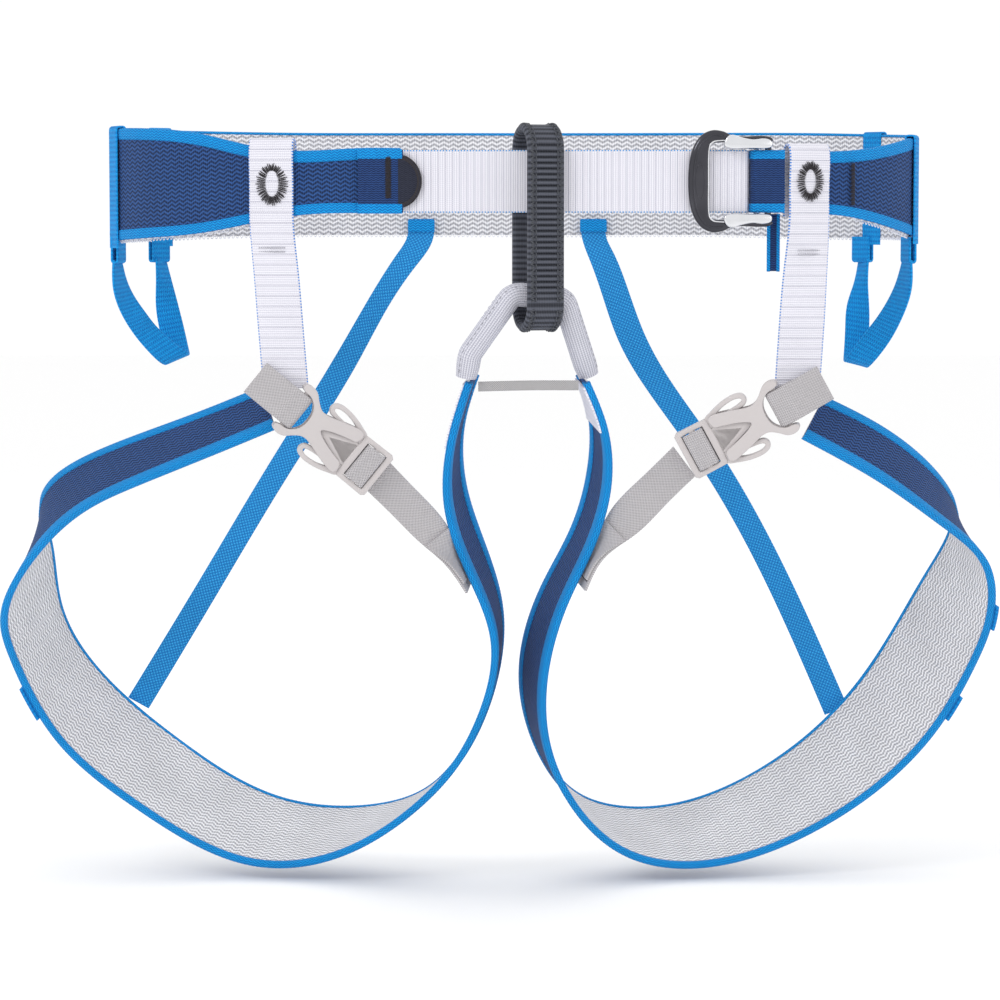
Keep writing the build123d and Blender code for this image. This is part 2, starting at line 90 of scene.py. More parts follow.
LEFT_LEG = [
    (-94, -60, -99, -100, -40, -84), (-118, -57, -109, -127, -35, -95),
    (-154, -46, -124, -166, -20, -110), (-190, -24, -147, -196, 6, -132),
    (-211, -8, -177, -195, 21, -155), (-210, 3, -200, -194, 40, -181),
    (-192, 17, -238, -176, 56, -216), (-160, 23, -267, -144, 62, -245),
    (-113, 26, -292, -98, 64, -271), (-66, 15, -284, -51, 48, -270),
    (-34, 0, -259, -27, 31, -255), (-12, -19, -224, -8, 8, -218),
    (-6, -33, -188, -3, -8, -181), (-20, -48, -150, -12, -26, -145),
    (-25, -54, -130, -18, -33, -125), (-23, -58, -104, -19, -39, -99),
    (-16, -60, -81, -13, -43, -78),
]
RIGHT_LEG = [
    (119, -60, -103, 129, -41, -88), (148, -53, -119, 157, -31, -103),
    (180, -36, -141, 185, -6, -130), (200, -18, -160, 188, 14, -148),
    (203, -6, -184, 180, 31, -168), (198, 3, -202, 173, 43, -184),
    (182, 15, -234, 157, 53, -213), (137, 25, -275, 119, 64, -253),
    (85, 24, -293, 71, 65, -274), (49, 14, -285, 37, 47, -269),
    (23, -5, -253, 16, 26, -247), (15, -22, -215, 6, 4, -209),
    (24, -40, -172, 16, -16, -166), (34, -49, -149, 27, -27, -143),
    (41, -56, -122, 34, -36, -116), (39, -59, -99, 34, -40, -94),
    (32, -60, -81, 29, -43, -78),
]
LEFT_ADJUST = [
    (-50, -55, -111, -59, -56, -123), (-37, -52, -125, -46, -53, -136), (-25, -50, -139, -35, -52, -147),
    (-20, -40, -152, -25, -50, -156), (-15, -33, -163, -17, -43, -168),
]
RIGHT_ADJUST = [
    (67, -54, -107, 76, -55, -119), (54, -52, -120, 64, -53, -131), (42, -50, -133, 52, -52, -143),
    (35, -40, -149, 39, -50, -153), (28, -33, -163, 32, -44, -167),
]
LEFT_GEAR = [
    (-163, -15.5, -32, -160.7, -6.5, -32), (-163.5, -10.5, -44, -158.5, 1, -43),
    (-160.5, 0, -57, -152.5, 7, -54), (-154, 10, -68, -146, 16, -63), (-146, 18, -77, -136, 21, -72),
    (-146, 27, -75, -136, 29, -72),
    (-149, 33, -64, -139, 36, -62), (-151, 34, -52, -142, 38, -51), (-151, 34, -42, -145, 41, -42),
    (-151, 33, -32, -148, 42, -32),
]
RIGHT_GEAR = [
    (168, -15.5, -32, 165.4, -6.5, -32), (168.5, -10.5, -44, 163, 1, -43), (165.5, 0, -57, 157.5, 7, -54),
    (160, 10, -69, 151, 15, -64), (154, 19, -77, 144, 22, -74), (154, 28, -75, 144, 30, -73),
    (155, 33, -64, 145, 36, -62), (155, 34, -52, 146, 38, -51), (154, 34, -42, 149, 41, -42),
    (154, 33, -32, 151, 42, -32),
]
LEFT_ELASTIC = [
    (-43, 61, -15, -32, 61, -15), (-43.5, 62, -22, -32.5, 62, -24), (-48, 62, -30, -39.5, 62, -35),
    (-73, 62, -71, -64.5, 62, -76), (-104.5, 63, -122, -96, 63, -127), (-135.5, 62, -173.5, -127, 62, -178.5),
    (-167, 62, -225, -158, 62, -230),
]
RIGHT_ELASTIC = [
    (32, 61, -15, 43, 61, -15), (32.5, 62, -23, 43, 62, -22), (36, 62, -33, 46, 62, -29),
    (49, 63, -69, 60, 63, -65), (78, 64, -113, 88, 64, -109), (140, 63, -233, 150, 63, -229),
]


# ---- Colours and materials ----
CLOTH_GLOSS = 0.22


def colour(red, green, blue):
    """A display colour from 0 to 255 as Blender's linear colour."""
    parts = [part / 255 for part in (red, green, blue)]
    return tuple(p / 12.92 if p <= 0.04045 else ((p + 0.055) / 1.055) ** 2.4 for p in parts) + (1.0,)


class Finish:
    """One material's nodes. Cloth reads the UV map named cloth, in millimetres along and across."""

    def __init__(self, name, roughness, sheen=0.0, metallic=0.0, cloth=True):
        self.material = bpy.data.materials.new(name)
        self.material.use_nodes = True
        self.nodes = self.material.node_tree.nodes
        self.links = self.material.node_tree.links
        self.shader = self.nodes["Principled BSDF"]
        self.shader.inputs["Roughness"].default_value = roughness
        self.shader.inputs["Metallic"].default_value = metallic
        self.shader.inputs["Sheen Weight"].default_value = sheen
        if cloth:
            self.shader.inputs["Specular IOR Level"].default_value = CLOTH_GLOSS
            place = self.nodes.new("ShaderNodeUVMap")
            place.uv_map = "cloth"
            split = self.nodes.new("ShaderNodeSeparateXYZ")
            self.links.new(place.outputs[0], split.inputs[0])
            self.along, self.across = split.outputs[0], split.outputs[1]

    def math(self, operation, *values):
        node = self.nodes.new("ShaderNodeMath")
        node.operation = operation
        for socket, value in zip(node.inputs, values):
            if isinstance(value, (int, float)):
                socket.default_value = value
            else:
                self.links.new(value, socket)
        return node.outputs[0]

    def wave(self, value, period):
        """0 to 1 and back once each period."""
        sine = self.math("SINE", self.math("MULTIPLY", value, 2 * math.pi / period))
        return self.math("MULTIPLY_ADD", sine, 0.5, 0.5)

    def zigzag(self, value, period):
        """0 to 1 and back once each period, in straight lines."""
        return self.math("DIVIDE", self.math("PINGPONG", value, period / 2), period / 2)

    def below(self, value, limit):
        return self.math("LESS_THAN", value, limit)

    def noise(self, scale, detail=2.0):
        place = self.nodes.new("ShaderNodeTexCoord")
        node = self.nodes.new("ShaderNodeTexNoise")
        node.inputs["Scale"].default_value = scale
        node.inputs["Detail"].default_value = detail
        self.links.new(place.outputs["Object"], node.inputs["Vector"])
        return node.outputs[0]

    def mix(self, factor, first, second):
        node = self.nodes.new("ShaderNodeMix")
        node.data_type = "RGBA"
        for socket, value in zip((node.inputs[0], node.inputs[6], node.inputs[7]), (factor, first, second)):
            if isinstance(value, (int, float, tuple)):
                socket.default_value = value
            else:
                self.links.new(value, socket)
        return node.outputs[2]

    def finish(self, base, height, depth, strength=1.0):
        """Joins a colour, and a height that stands depth millimetres proud, to the shader."""
        self.links.new(base, self.shader.inputs["Base Color"])
        bump = self.nodes.new("ShaderNodeBump")
        bump.inputs["Strength"].default_value = strength
        bump.inputs["Distance"].default_value = depth / 1000
        self.links.new(height, bump.inputs["Height"])
        self.links.new(bump.outputs[0], self.shader.inputs["Normal"])
        return self.material

    def woven(self, height, dark, light, unevenness, depth):
        """Joins a weave whose colour runs from dark to light with its height."""
        return self.finish(self.faded(self.mix(height, dark, light), unevenness), height, depth)

    def faded(self, base, amount=0.10):
        """The same colour with slow, uneven variation, as dyed cloth has."""
        patchy = self.noise(60.0)
        node = self.nodes.new("ShaderNodeHueSaturation")
        self.links.new(base, node.inputs["Color"])
        value = self.math("MULTIPLY_ADD", patchy, 2 * amount, 1 - amount)
        self.links.new(value, node.inputs["Value"])
        return node.outputs[0]


def chevron(name, dark, light, row, period, swing, depth, across_ribs=0.0):
    """Rows of thread that run along the cloth in zigzags."""
    m = Finish(name, 0.75, 0.03)
    shift = m.math("MULTIPLY", m.zigzag(m.along, period), swing)
    thread = m.wave(m.math("ADD", m.across, shift), row)
    strand = m.wave(m.along, period / 4)
    height = m.math("MULTIPLY_ADD", strand, 0.25, m.math("MULTIPLY", thread, 0.75))
    if across_ribs:
        rib = m.wave(m.along, across_ribs)
        height = m.math("MULTIPLY_ADD", rib, 0.3, m.math("MULTIPLY", height, 0.7))
    tone = m.math("MULTIPLY_ADD", m.noise(900.0), 0.35, m.math("SUBTRACT", height, 0.17))
    return m.finish(m.faded(m.mix(tone, dark, light)), height, depth)


def loop_ribs_painted_shade(name, dark, light, rib_period):
    """Charcoal webbing of the belay loop, paler on its ribs than between them: the darkening between the ribs
    is painted shade in the grooves.
    """
    m = Finish(name, 0.7, 0.03)
    rib = m.wave(m.math("SUBTRACT", m.along, rib_period / 4), rib_period)
    fine = m.wave(m.across, 0.7)
    height = m.math("MULTIPLY_ADD", rib, 0.75, m.math("MULTIPLY", fine, 0.25))
    # The colour runs with the rib wave, so the grooves between the ribs get painted shade.
    return m.finish(m.faded(m.mix(height, dark, light), 0.06), fine, 0.1)


def lattice(name, dark, light, period, depth):
    """A small diamond lattice, as narrow elastic has."""
    m = Finish(name, 0.6, 0.03)
    first = m.wave(m.math("ADD", m.along, m.across), period)
    second = m.wave(m.math("SUBTRACT", m.along, m.across), period)
    return m.woven(m.math("SQRT", m.math("MULTIPLY", first, second)), dark, light, 0.06, depth)


def basket(name, dark, light, period, depth):
    """Plain over-and-under weave."""
    m = Finish(name, 0.8, 0.05)
    over = m.wave(m.along, period)
    under = m.wave(m.across, period * 0.9)
    height = m.math("ABSOLUTE", m.math("SUBTRACT", over, under))
    height = m.math("SUBTRACT", 1.0, m.math("POWER", height, 0.8))
    return m.woven(height, dark, light, 0.05, depth)


def ribbed(name, dark, light, stripe, width, column=2.9):
    """White webbing: fine ribs across it, a dotted line every few ribs, and coloured thread in each edge."""
    m = Finish(name, 0.7, 0.05)
    rib = m.wave(m.along, 0.95)
    dots = m.wave(m.across, 0.85)
    line = m.below(m.math("PINGPONG", m.along, column / 2), 0.22)
    line = m.math("MULTIPLY", line, dots)
    height = m.math("MULTIPLY_ADD", rib, 0.45, m.math("MULTIPLY", dots, 0.2))
    height = m.math("SUBTRACT", height, m.math("MULTIPLY", line, 0.5))
    tone = m.math("SUBTRACT", m.math("MULTIPLY_ADD", height, 0.8, 0.42), m.math("MULTIPLY", line, 0.16))
    body = m.mix(tone, dark, light)
    edge = m.math("PINGPONG", m.across, width / 2)
    near = m.math("MULTIPLY", m.below(edge, 0.5), m.math("GREATER_THAN", m.wave(m.along, 1.2), 0.5))
    body = m.mix(near, body, stripe)
    return m.finish(m.faded(body, 0.04), height, 0.22)


def knitted(name, dark, light):
    """Tubular sheath: fine lengthwise ribs of small stitches."""
    m = Finish(name, 0.8, 0.05)
    rib = m.wave(m.across, 1.15)
    step = m.wave(m.math("ADD", m.along, m.math("MULTIPLY", rib, 0.4)), 0.9)
    height = m.math("MULTIPLY_ADD", rib, 0.6, m.math("MULTIPLY", step, 0.35))
    return m.woven(height, dark, light, 0.05, 0.2)


def thread(name, dark, light):
    """Twisted sewing thread."""
    m = Finish(name, 0.65, 0.03)
    twist = m.wave(m.math("ADD", m.along, m.across), 0.5)
    return m.finish(m.mix(twist, dark, light), twist, 0.05)


def plastic(name, tone):
    m = Finish(name, 0.42, cloth=False)
    m.shader.inputs["Coat Weight"].default_value = 0.12
    grain = m.noise(2600.0, 4.0)
    base = m.mix(m.noise(45.0), tuple(0.93 * part for part in tone[:3]) + (1.0,), tone)
    return m.finish(base, grain, 0.03, 0.6)


def metal(name, dark, light, roughness):
    m = Finish(name, roughness, metallic=1.0, cloth=False)
    grain = m.noise(900.0, 6.0)
    base = m.mix(m.noise(70.0, 3.0), dark, light)
    return m.finish(base, grain, 0.006, 0.4)


NAVY_DARK, NAVY_LIGHT = colour(8, 20, 50), colour(52, 92, 156)
BLUE_DARK, BLUE_LIGHT = colour(0, 92, 172), colour(18, 166, 238)
CHARCOAL_DARK, CHARCOAL_LIGHT = colour(28, 30, 37), colour(92, 95, 106)
WHITE_DARK, WHITE_LIGHT = colour(168, 167, 184), colour(238, 237, 244)
GREY_DARK, GREY_LIGHT = colour(146, 142, 146), colour(222, 219, 221)

# Each look's slot in the record, and its material
LOOKS = {
    "navy": ("navy_webbing", chevron("navy_chevron", NAVY_DARK, NAVY_LIGHT, 1.7, 3.7, 1.2, 0.5)),
    "navy_plain": ("navy_webbing",
                   chevron("navy_plain", NAVY_DARK, colour(44, 78, 138), 0.9, 1.8, 0.4, 0.25)),
    "lining": ("grey_mesh",
               chevron("lining_zigzag", colour(146, 146, 153), colour(248, 248, 252), 1.9, 4.2, 1.15, 0.4)),
    "binding": ("blue_webbing", chevron("blue_binding", BLUE_DARK, BLUE_LIGHT, 1.1, 2.2, 0.8, 0.3)),
    "gear": ("blue_webbing",
             chevron("gear_webbing", BLUE_DARK, BLUE_LIGHT, 1.0, 1.6, 0.5, 0.25, across_ribs=2.0)),
    "elastic": ("blue_webbing",
                lattice("blue_lattice", colour(6, 108, 184), colour(56, 172, 236), 1.7, 0.25)),
    "strap": ("white_webbing",
              ribbed("white_strap", WHITE_DARK, WHITE_LIGHT, colour(70, 150, 215), STRAP_HEIGHT)),
    "riser": ("white_webbing",
              ribbed("white_riser", WHITE_DARK, WHITE_LIGHT, colour(70, 130, 210), RISER_WIDTH, 4.2)),
    "patch": ("white_webbing", ribbed("white_patch", WHITE_DARK, WHITE_LIGHT, WHITE_LIGHT, 20.0)),
    "grey": ("grey_webbing", basket("grey_webbing", GREY_DARK, GREY_LIGHT, 0.95, 0.25)),
    "pale_elastic": ("grey_webbing",
                     basket("pale_elastic", colour(138, 136, 138), colour(202, 200, 201), 0.9, 0.2)),
    "charcoal": ("charcoal_webbing", loop_ribs_painted_shade("charcoal_webbing", CHARCOAL_DARK, CHARCOAL_LIGHT, 2.25)),
    "tip": ("navy_patch", chevron("satin_tip", colour(20, 22, 32), colour(54, 58, 76), 0.8, 1.6, 0.2, 0.2)),
    "sheath": ("white_webbing", knitted("white_sheath", colour(156, 156, 170), colour(230, 230, 238))),
    "core": ("core_cord", thread("core_yarn", colour(190, 186, 178), colour(235, 232, 224))),
    "black_thread": ("dark_thread", thread("black_thread", colour(24, 22, 26), colour(66, 62, 66))),
    "grey_thread": ("dark_thread", thread("grey_thread", colour(120, 120, 128), colour(176, 176, 184))),
    "charcoal_thread": ("dark_thread",
                        thread("charcoal_thread", colour(40, 41, 46), colour(104, 107, 114))),
    "white_thread": ("grey_mesh", thread("white_thread", colour(205, 208, 222), colour(250, 250, 255))),
    "plastic": ("grey_plastic", plastic("grey_plastic", colour(196, 190, 190))),
    "dark_metal": ("dark_metal", metal("dark_metal", colour(54, 54, 59), colour(88, 88, 94), 0.14)),
    "bright_metal": ("bright_metal",
                     metal("bright_metal", colour(205, 206, 210), colour(238, 239, 242), 0.16)),
}


# ---- Building meshes ----
SMOOTH_TO = 50
CLOTH_SMOOTH_TO = 60
THREAD_SMOOTH_TO = 80
PRESSED_SMOOTH_TO = 38
WELD_METRES = 1e-6


def metre(point):
    return tuple(float(part) / 1000 for part in point)


def unit(vector):
    vector = np.array(vector, float)
    return vector / np.linalg.norm(vector)


def unit_rows(vectors):
    return vectors / np.linalg.norm(vectors, axis=1)[:, None]


def run_along(points):
    """The distance run along a path, at each of its points."""
    return np.concatenate([[0.0], np.cumsum(np.linalg.norm(np.diff(points, axis=0), axis=1))])


def add(name, data):
    """A new object in the scene."""
    obj = bpy.data.objects.new(name, data)
    bpy.context.scene.collection.objects.link(obj)
    return obj


def place(obj, look, body, stands_for=None, slot=None):
    """Gives a piece its material and body, and hides the CAD node that it stands for; slot is not used."""
    own_slot, material = LOOKS[look]
    obj.data.materials.append(material)
    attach(obj, body)
    if stands_for:
        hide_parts(stands_for)
    return obj


def shaded(name, mesh, smooth_to, weld=False):
    """An object whose faces point outward and are smooth, except across edges over smooth_to degrees."""
    work = bmesh.new()
    work.from_mesh(mesh)
    if weld:
        bmesh.ops.remove_doubles(work, verts=work.verts, dist=WELD_METRES)
    bmesh.ops.recalc_face_normals(work, faces=work.faces)
    work.to_mesh(mesh)
    work.free()
    mesh.polygons.foreach_set("use_smooth", [True] * len(mesh.polygons))
    mesh.set_sharp_from_angle(angle=math.radians(smooth_to))
    return add(name, mesh)


def make_object(name, vertices, faces, uvs, smooth_to=SMOOTH_TO):
    mesh = bpy.data.meshes.new(name)
    mesh.from_pydata([metre(v) for v in vertices], [], faces)
    layer = mesh.uv_layers.new(name="cloth")
    corners = np.zeros(len(mesh.loops), int)
    mesh.loops.foreach_get("vertex_index", corners)
    layer.data.foreach_set("uv", np.array(uvs, float)[corners].ravel())
    return shaded(name, mesh, smooth_to)


def ring_faces(rows, columns, first=0, caps=True):
    """Faces that join rings of points, one ring for each row, with a face over each end."""
    faces = []
    for i in range(rows - 1):
        a, b = first + i * columns, first + (i + 1) * columns
        for j in range(columns):
            k = (j + 1) % columns
            faces.append((a + j, a + k, b + k, b + j))
    if caps:
        for row in (0, rows - 1):
            faces.append(tuple(first + row * columns + j for j in range(columns)))
    return faces


def skin(name, points, along, across, caps=True, smooth_to=SMOOTH_TO):
    """A closed tube of cloth from a grid of points: one row for each place along it. along and across are the
    UV map's millimetres for each row and each point."""
    rows, columns = points.shape[:2]
    uvs = np.stack([np.broadcast_to(along[:, None], (rows, columns)), across], axis=2).reshape(-1, 2)
    return make_object(name, points.reshape(-1, 3), ring_faces(rows, columns, caps=caps), uvs, smooth_to)


def spline(points, shares, places):
    """A smooth curve through points, which lie at shares of its length, read at places."""
    points, shares, places = (np.array(v, float) for v in (points, shares, places))
    count = len(points)
    steps = np.diff(shares)
    matrix, right = np.eye(count), np.zeros(points.shape)
    for i in range(1, count - 1):
        matrix[i, i - 1] = steps[i - 1]
        matrix[i, i] = 2 * (steps[i - 1] + steps[i])
        matrix[i, i + 1] = steps[i]
        slopes = (points[i + 1] - points[i]) / steps[i] - (points[i] - points[i - 1]) / steps[i - 1]
        right[i] = 6 * slopes
    curvature = np.linalg.solve(matrix, right)
    index = np.clip(np.searchsorted(shares, places, side="right") - 1, 0, count - 2)
    step = steps[index][:, None]
    before = (places - shares[index])[:, None] / step
    after = 1 - before
    straight = after * points[index] + before * points[index + 1]
    bend = (after ** 3 - after) * curvature[index] + (before ** 3 - before) * curvature[index + 1]
    return straight + bend * step ** 2 / 6


class Strip:
    """Cross-sections along a piece of cloth: its first edge, unit vectors across and out of it, its width,
    and the distance run so far."""

    def __init__(self, first, second, facing=1):
        self.first = first
        gap = second - first
        self.width = np.linalg.norm(gap, axis=1)
        self.across = gap / self.width[:, None]
        middle = (first + second) / 2
        chord = np.gradient(middle, axis=0)
        self.out = unit_rows(np.cross(self.across, chord) * facing)
        self.run = run_along(middle)


def strip(rails, facing=1, pitch=1.0, start=0.0, end=1.0):
    """A strip that follows two smooth rails, with a cross-section about every pitch millimetres."""
    rails = np.array(rails, float)
    lengths = run_along((rails[:, :3] + rails[:, 3:]) / 2)
    shares = lengths / lengths[-1]
    count = max(4, int(lengths[-1] * (end - start) / pitch))
    places = np.linspace(start, end, count + 1)
    return Strip(spline(rails[:, :3], shares, places), spline(rails[:, 3:], shares, places), facing)


def rounded_path(points, radius, pitch=0.7):
    """A path through flat points with rounded corners, sampled about every pitch millimetres."""
    points = [np.array(p, float) for p in points]
    route = [points[0]]
    for before, corner, after in zip(points, points[1:], points[2:]):
        toward, away = unit(before - corner), unit(after - corner)
        half = math.acos(np.clip(toward @ away, -1, 1)) / 2
        if half > math.radians(88):
            route.append(corner)
            continue
        reach = min(radius / math.tan(half), 0.49 * np.linalg.norm(before - corner),
                    0.49 * np.linalg.norm(after - corner))
        start, finish = corner + toward * reach, corner + away * reach
        for i in range(9):
            t = i / 8
            route.append((1 - t) ** 2 * start + 2 * t * (1 - t) * corner + t * t * finish)
    route.append(points[-1])
    route = np.array(route)
    run = run_along(route)
    places = np.linspace(0, run[-1], max(4, int(run[-1] / pitch)) + 1)
    return np.stack([np.interp(places, run, route[:, k]) for k in range(route.shape[1])], axis=1)


def path_strip(centres, direction, width, facing=1):
    """A strip of one width centred on a path. direction runs across it."""
    offset = unit(direction) * width / 2
    return Strip(centres - offset, centres + offset, facing)


def band(low, high, lift, thickness, columns=10):
    """Outline of a flat band's cross-section. low and high are (share of the width, millimetres)."""
    low, high = np.array(low, float), np.array(high, float)
    half = thickness / 2
    outline = []
    inset = np.array([0, half])
    for t in np.linspace(0, 1, columns):
        outline.append((*(low + inset + (high - low - 2 * inset) * t), lift + half, 1))
    for angle in (60, 30, 0, -30, -60):
        turn = math.radians(angle)
        step = np.array([0, half * math.cos(turn) - half])
        outline.append((*(high + step), lift + half * math.sin(turn), 0))
    for t in np.linspace(1, 0, columns):
        outline.append((*(low + inset + (high - low - 2 * inset) * t), lift - half, -1))
    for angle in (-60, -30, 0, 30, 60):
        turn = math.radians(angle)
        step = np.array([0, half - half * math.cos(turn)])
        outline.append((*(low + step), lift + half * math.sin(turn), 0))
    return np.array(outline)


def binding(second, inner_depth, outer_depth=EDGE):
    """Outline of a folded edge binding round the first or second rim, deeper outside than inside."""
    top, bottom = WEBBING + 0.45, LINING_FACE - 0.4
    outline = [
        (outer_depth, WEBBING), (outer_depth - 0.25, top - 0.08), (outer_depth / 2, top), (0.6, top),
        (0.0, WEBBING + 0.2), (-0.3, 0.6), (-0.35, -0.1), (-0.2, -0.9), (0.3, bottom + 0.05),
    ]
    if inner_depth:
        outline += [(inner_depth - 0.3, bottom), (inner_depth, bottom + 0.3), (inner_depth, -0.3)]
    outline += [(outer_depth, 0.4)]
    share, sign = (1, -1) if second else (0, 1)
    return np.array([(share, sign * depth, lift, 1) for depth, lift in outline])


def cloth(name, strip_, outline, look, stands_for=None, relief=None, body="harness", slot=None, caps=True,
          folded=False):
    """A piece of cloth: an outline carried along a strip. relief(run, across) lifts its faces a little.
    Folded cloth goes round a rim, so its weave is measured round the outline, not across the strip."""
    run = strip_.run
    across = outline[None, :, 0] * strip_.width[:, None] + outline[None, :, 1]
    lift = np.broadcast_to(outline[None, :, 2], across.shape).copy()
    if relief:
        lift += relief(run[:, None], across) * outline[None, :, 3]
    points = strip_.first[:, None] + strip_.across[:, None] * across[..., None]
    points = points + strip_.out[:, None] * lift[..., None]
    if folded:
        steps = np.hypot(np.diff(outline[:, 1]), np.diff(outline[:, 2]))
        across = np.broadcast_to(np.concatenate([[0.0], np.cumsum(steps)]), across.shape)
    return place(skin(name, points, run, across, caps, CLOTH_SMOOTH_TO), look, body, stands_for, slot)


def on_strip(strip_, run, across, lift):
    """The point at a distance along a strip, across it and out of it, and the direction out."""
    def read(values):
        return np.array([np.interp(run, strip_.run, values[:, k]) for k in range(3)])
    out = unit(read(strip_.out))
    point = read(strip_.first) + unit(read(strip_.across)) * across + out * lift
    return point, out


def stitching(name, stitches, radius, look, stands_for=None, rise=0.35, body="harness"):
    """Short lengths of thread. Each is (start, end, out) and arches out of the cloth between its ends."""
    rings, sides = 7, 6
    vertices, faces, uvs = [], [], []
    for start, end, out in stitches:
        start, end, out = (np.array(v, float) for v in (start, end, out))
        length = np.linalg.norm(end - start)
        tangent = (end - start) / length
        side = unit(np.cross(tangent, out))
        base = len(vertices)
        for i in range(rings):
            t = i / (rings - 1)
            swell = math.sin(math.pi * t)
            centre = start + (end - start) * t + out * (swell ** 0.5 * rise - 0.15)
            thick = radius * (0.45 + 0.55 * swell ** 0.5)
            for j in range(sides):
                turn = 2 * math.pi * j / sides
                vertices.append(centre + (side * math.cos(turn) + out * math.sin(turn)) * thick)
                uvs.append((t * length, turn * radius))
        faces += ring_faces(rings, sides, base)
    return place(make_object(name, vertices, faces, uvs, THREAD_SMOOTH_TO), look, body, stands_for)


def run_stitches(strip_, start, end, across, step, lift, gap=0.35):
    """A straight row of stitches along a strip."""
    stitches = []
    at = start
    while at + step * (1 - gap) <= end:
        first, out = on_strip(strip_, at, across, lift)
        second, _ = on_strip(strip_, at + step * (1 - gap), across, lift)
        stitches.append((first, second, out))
        at += step
    return stitches


def zigzag_stitches(strip_, start, end, low, high, step, lift):
    """A zigzag row of stitches along a strip, between two distances across it."""
    stitches = []
    for i in range(int((end - start) / step)):
        ends = (low, high) if i % 2 == 0 else (high, low)
        first, out = on_strip(strip_, start + i * step, ends[0], lift)
        second, _ = on_strip(strip_, start + (i + 1) * step, ends[1], lift)
        stitches.append((first, second, out))
    return stitches


# ---- Waist belt ----
belt_rails = [(x, y, low, x, y, high) for x, y, low, high in BELT]
belt = strip(belt_rails, 1, 1.5)
belt_fine = strip(belt_rails, 1, 0.55)
belt_lining = strip(belt_rails, 1, 1.5, *LINING_SPAN)
MIDDLE = ((0, EDGE - 0.6), (1, 0.6 - EDGE))
FULL = ((0, 0), (1, 0))


def flat(thickness, columns):
    """Outline of a flat piece as wide as its strip, and centred on it."""
    return band(*FULL, 0, thickness, columns)


def puckers(run, across):
    """Slight unevenness of a long webbing."""
    return 0.12 * np.sin(run / 23) * np.sin(across / 11) + 0.06 * np.sin(run / 7.3 + across / 5)


def picots(run, across):
    """Small bumps of a binding's folded threads."""
    return 0.05 * np.sin(2 * math.pi * run / 1.7 + across * 1.2)


cloth("belt_outer", belt, band(*MIDDLE, WEBBING / 2, WEBBING, 24), "navy", "belt_outer_webbing", puckers)
cloth("belt_lining", belt_lining, band(*FULL, LINING_LIFT, LINING, 24), "lining", "belt_inner_mesh",
      puckers)
cloth("belt_binding_upper", belt_fine, binding(True, 0.8), "binding", "belt_edge_upper", picots,
      folded=True)
cloth("belt_binding_lower", belt_fine, band((0, 0.3), (0, EDGE), 0.9, 1.5, 8), "binding", "belt_edge_lower",
      picots)

# Picot loops along the lining's lower rim
picot_stitches = []
for at in np.arange(2.0, belt_lining.run[-1] - 2.0, 1.9):
    start, _ = on_strip(belt_lining, at, 0.4, LINING_FACE)
    end, _ = on_strip(belt_lining, at + 1.5, 0.4, LINING_FACE)
    picot_stitches.append((start, end, np.array([0.0, 0.0, -1.0])))
stitching("belt_picots", picot_stitches, 0.32, "white_thread", rise=1.3)


def over_belt(name, span, outside, stands_for=None):
    """Gear webbing sewn up one face of the belt and folded over its top and bottom rims."""
    piece = strip(belt_rails, 1, 0.8, *span)
    middle = len(piece.run) // 2
    start, across, out = piece.first[middle], piece.across[middle], piece.out[middle]
    along = unit(np.cross(out, across))
    width = piece.width[middle]
    outer, inner = WEBBING + 1.0, LINING_FACE - 0.6
    near, far = (outer, inner) if outside else (inner, outer)
    route = [(near, -3), (near, width + 0.9), (far, width + 0.9), (far, width - 7)]
    folded = rounded_path(route, 1.2, 0.7)
    centres = start + out * folded[:, :1] + across * folded[:, 1:2]
    cloth(name, path_strip(centres, along, 10.0), flat(0.9, 8), "gear", stands_for)


for name, (side_span, back_span) in WRAPS.items():
    over_belt(f"side_wrap_{name}", side_span, True, f"belt_wraps_{name}")
    over_belt(f"back_wrap_{name}", back_span, False)


# ---- Patch at the left front end: a flat navy end with blue bands and a stiff rounded tip ----
def front_strip(left, right, bottom, top, y, pitch=0.7):
    """A strip that faces the viewer at one depth, running from left to right."""
    xs = np.linspace(left, right, max(4, int((right - left) / pitch)) + 1)
    lower = np.stack([xs, np.full(len(xs), y), np.full(len(xs), bottom)], axis=1)
    upper = np.stack([xs, np.full(len(xs), y), np.full(len(xs), top)], axis=1)
    return Strip(lower, upper, 1)


patch_body = front_strip(-60.0, -42.0, -12.6, 12.6, -64.1)
cloth("strap_end_patch", patch_body, flat(1.3, 12), "navy_plain", "strap_end_patch",
      slot="navy_patch")
for name, low, high in (("lower", -12.9, -8.9), ("upper", 8.9, 12.9)):
    edge = front_strip(-60.2, -42.4, low, high, -64.5)
    cloth(f"strap_end_band_{name}", edge, flat(1.0, 8), "binding", relief=picots)
TIP_X, TIP_REACH, TIP_HALF = -44.0, 9.2, 10.4
turns = np.linspace(-math.pi / 2, math.pi / 2, 30)
tip = [(TIP_X, -TIP_HALF)] + [(TIP_X + TIP_REACH * math.cos(t), TIP_HALF * math.sin(t)) for t in turns]
tip += [(TIP_X, TIP_HALF)]
tip_vertices = []
for depth, scale in ((-63.4, 1.0), (-64.5, 1.0), (-64.8, 0.94)):
    tip_vertices += [(TIP_X + (x - TIP_X) * scale, depth, z * scale) for x, z in tip]
tip_faces = ring_faces(3, len(tip), caps=False) + [tuple(range(2 * len(tip), 3 * len(tip)))]
tip_uvs = [(x, z) for x, _, z in tip_vertices]
place(make_object("strap_end_tip", tip_vertices, tip_faces, tip_uvs), "tip", "harness")
satin = []
for t in np.linspace(-1.45, 1.45, 96):
    inner = (TIP_X + 7.2 * math.cos(t), -64.6, 8.4 * math.sin(t))
    outer = (TIP_X + 9.5 * math.cos(t), -64.3, 10.7 * math.sin(t))
    satin.append((inner, outer, (0, -1, 0)))
stitching("strap_end_satin", satin, 0.26, "black_thread", rise=0.3)
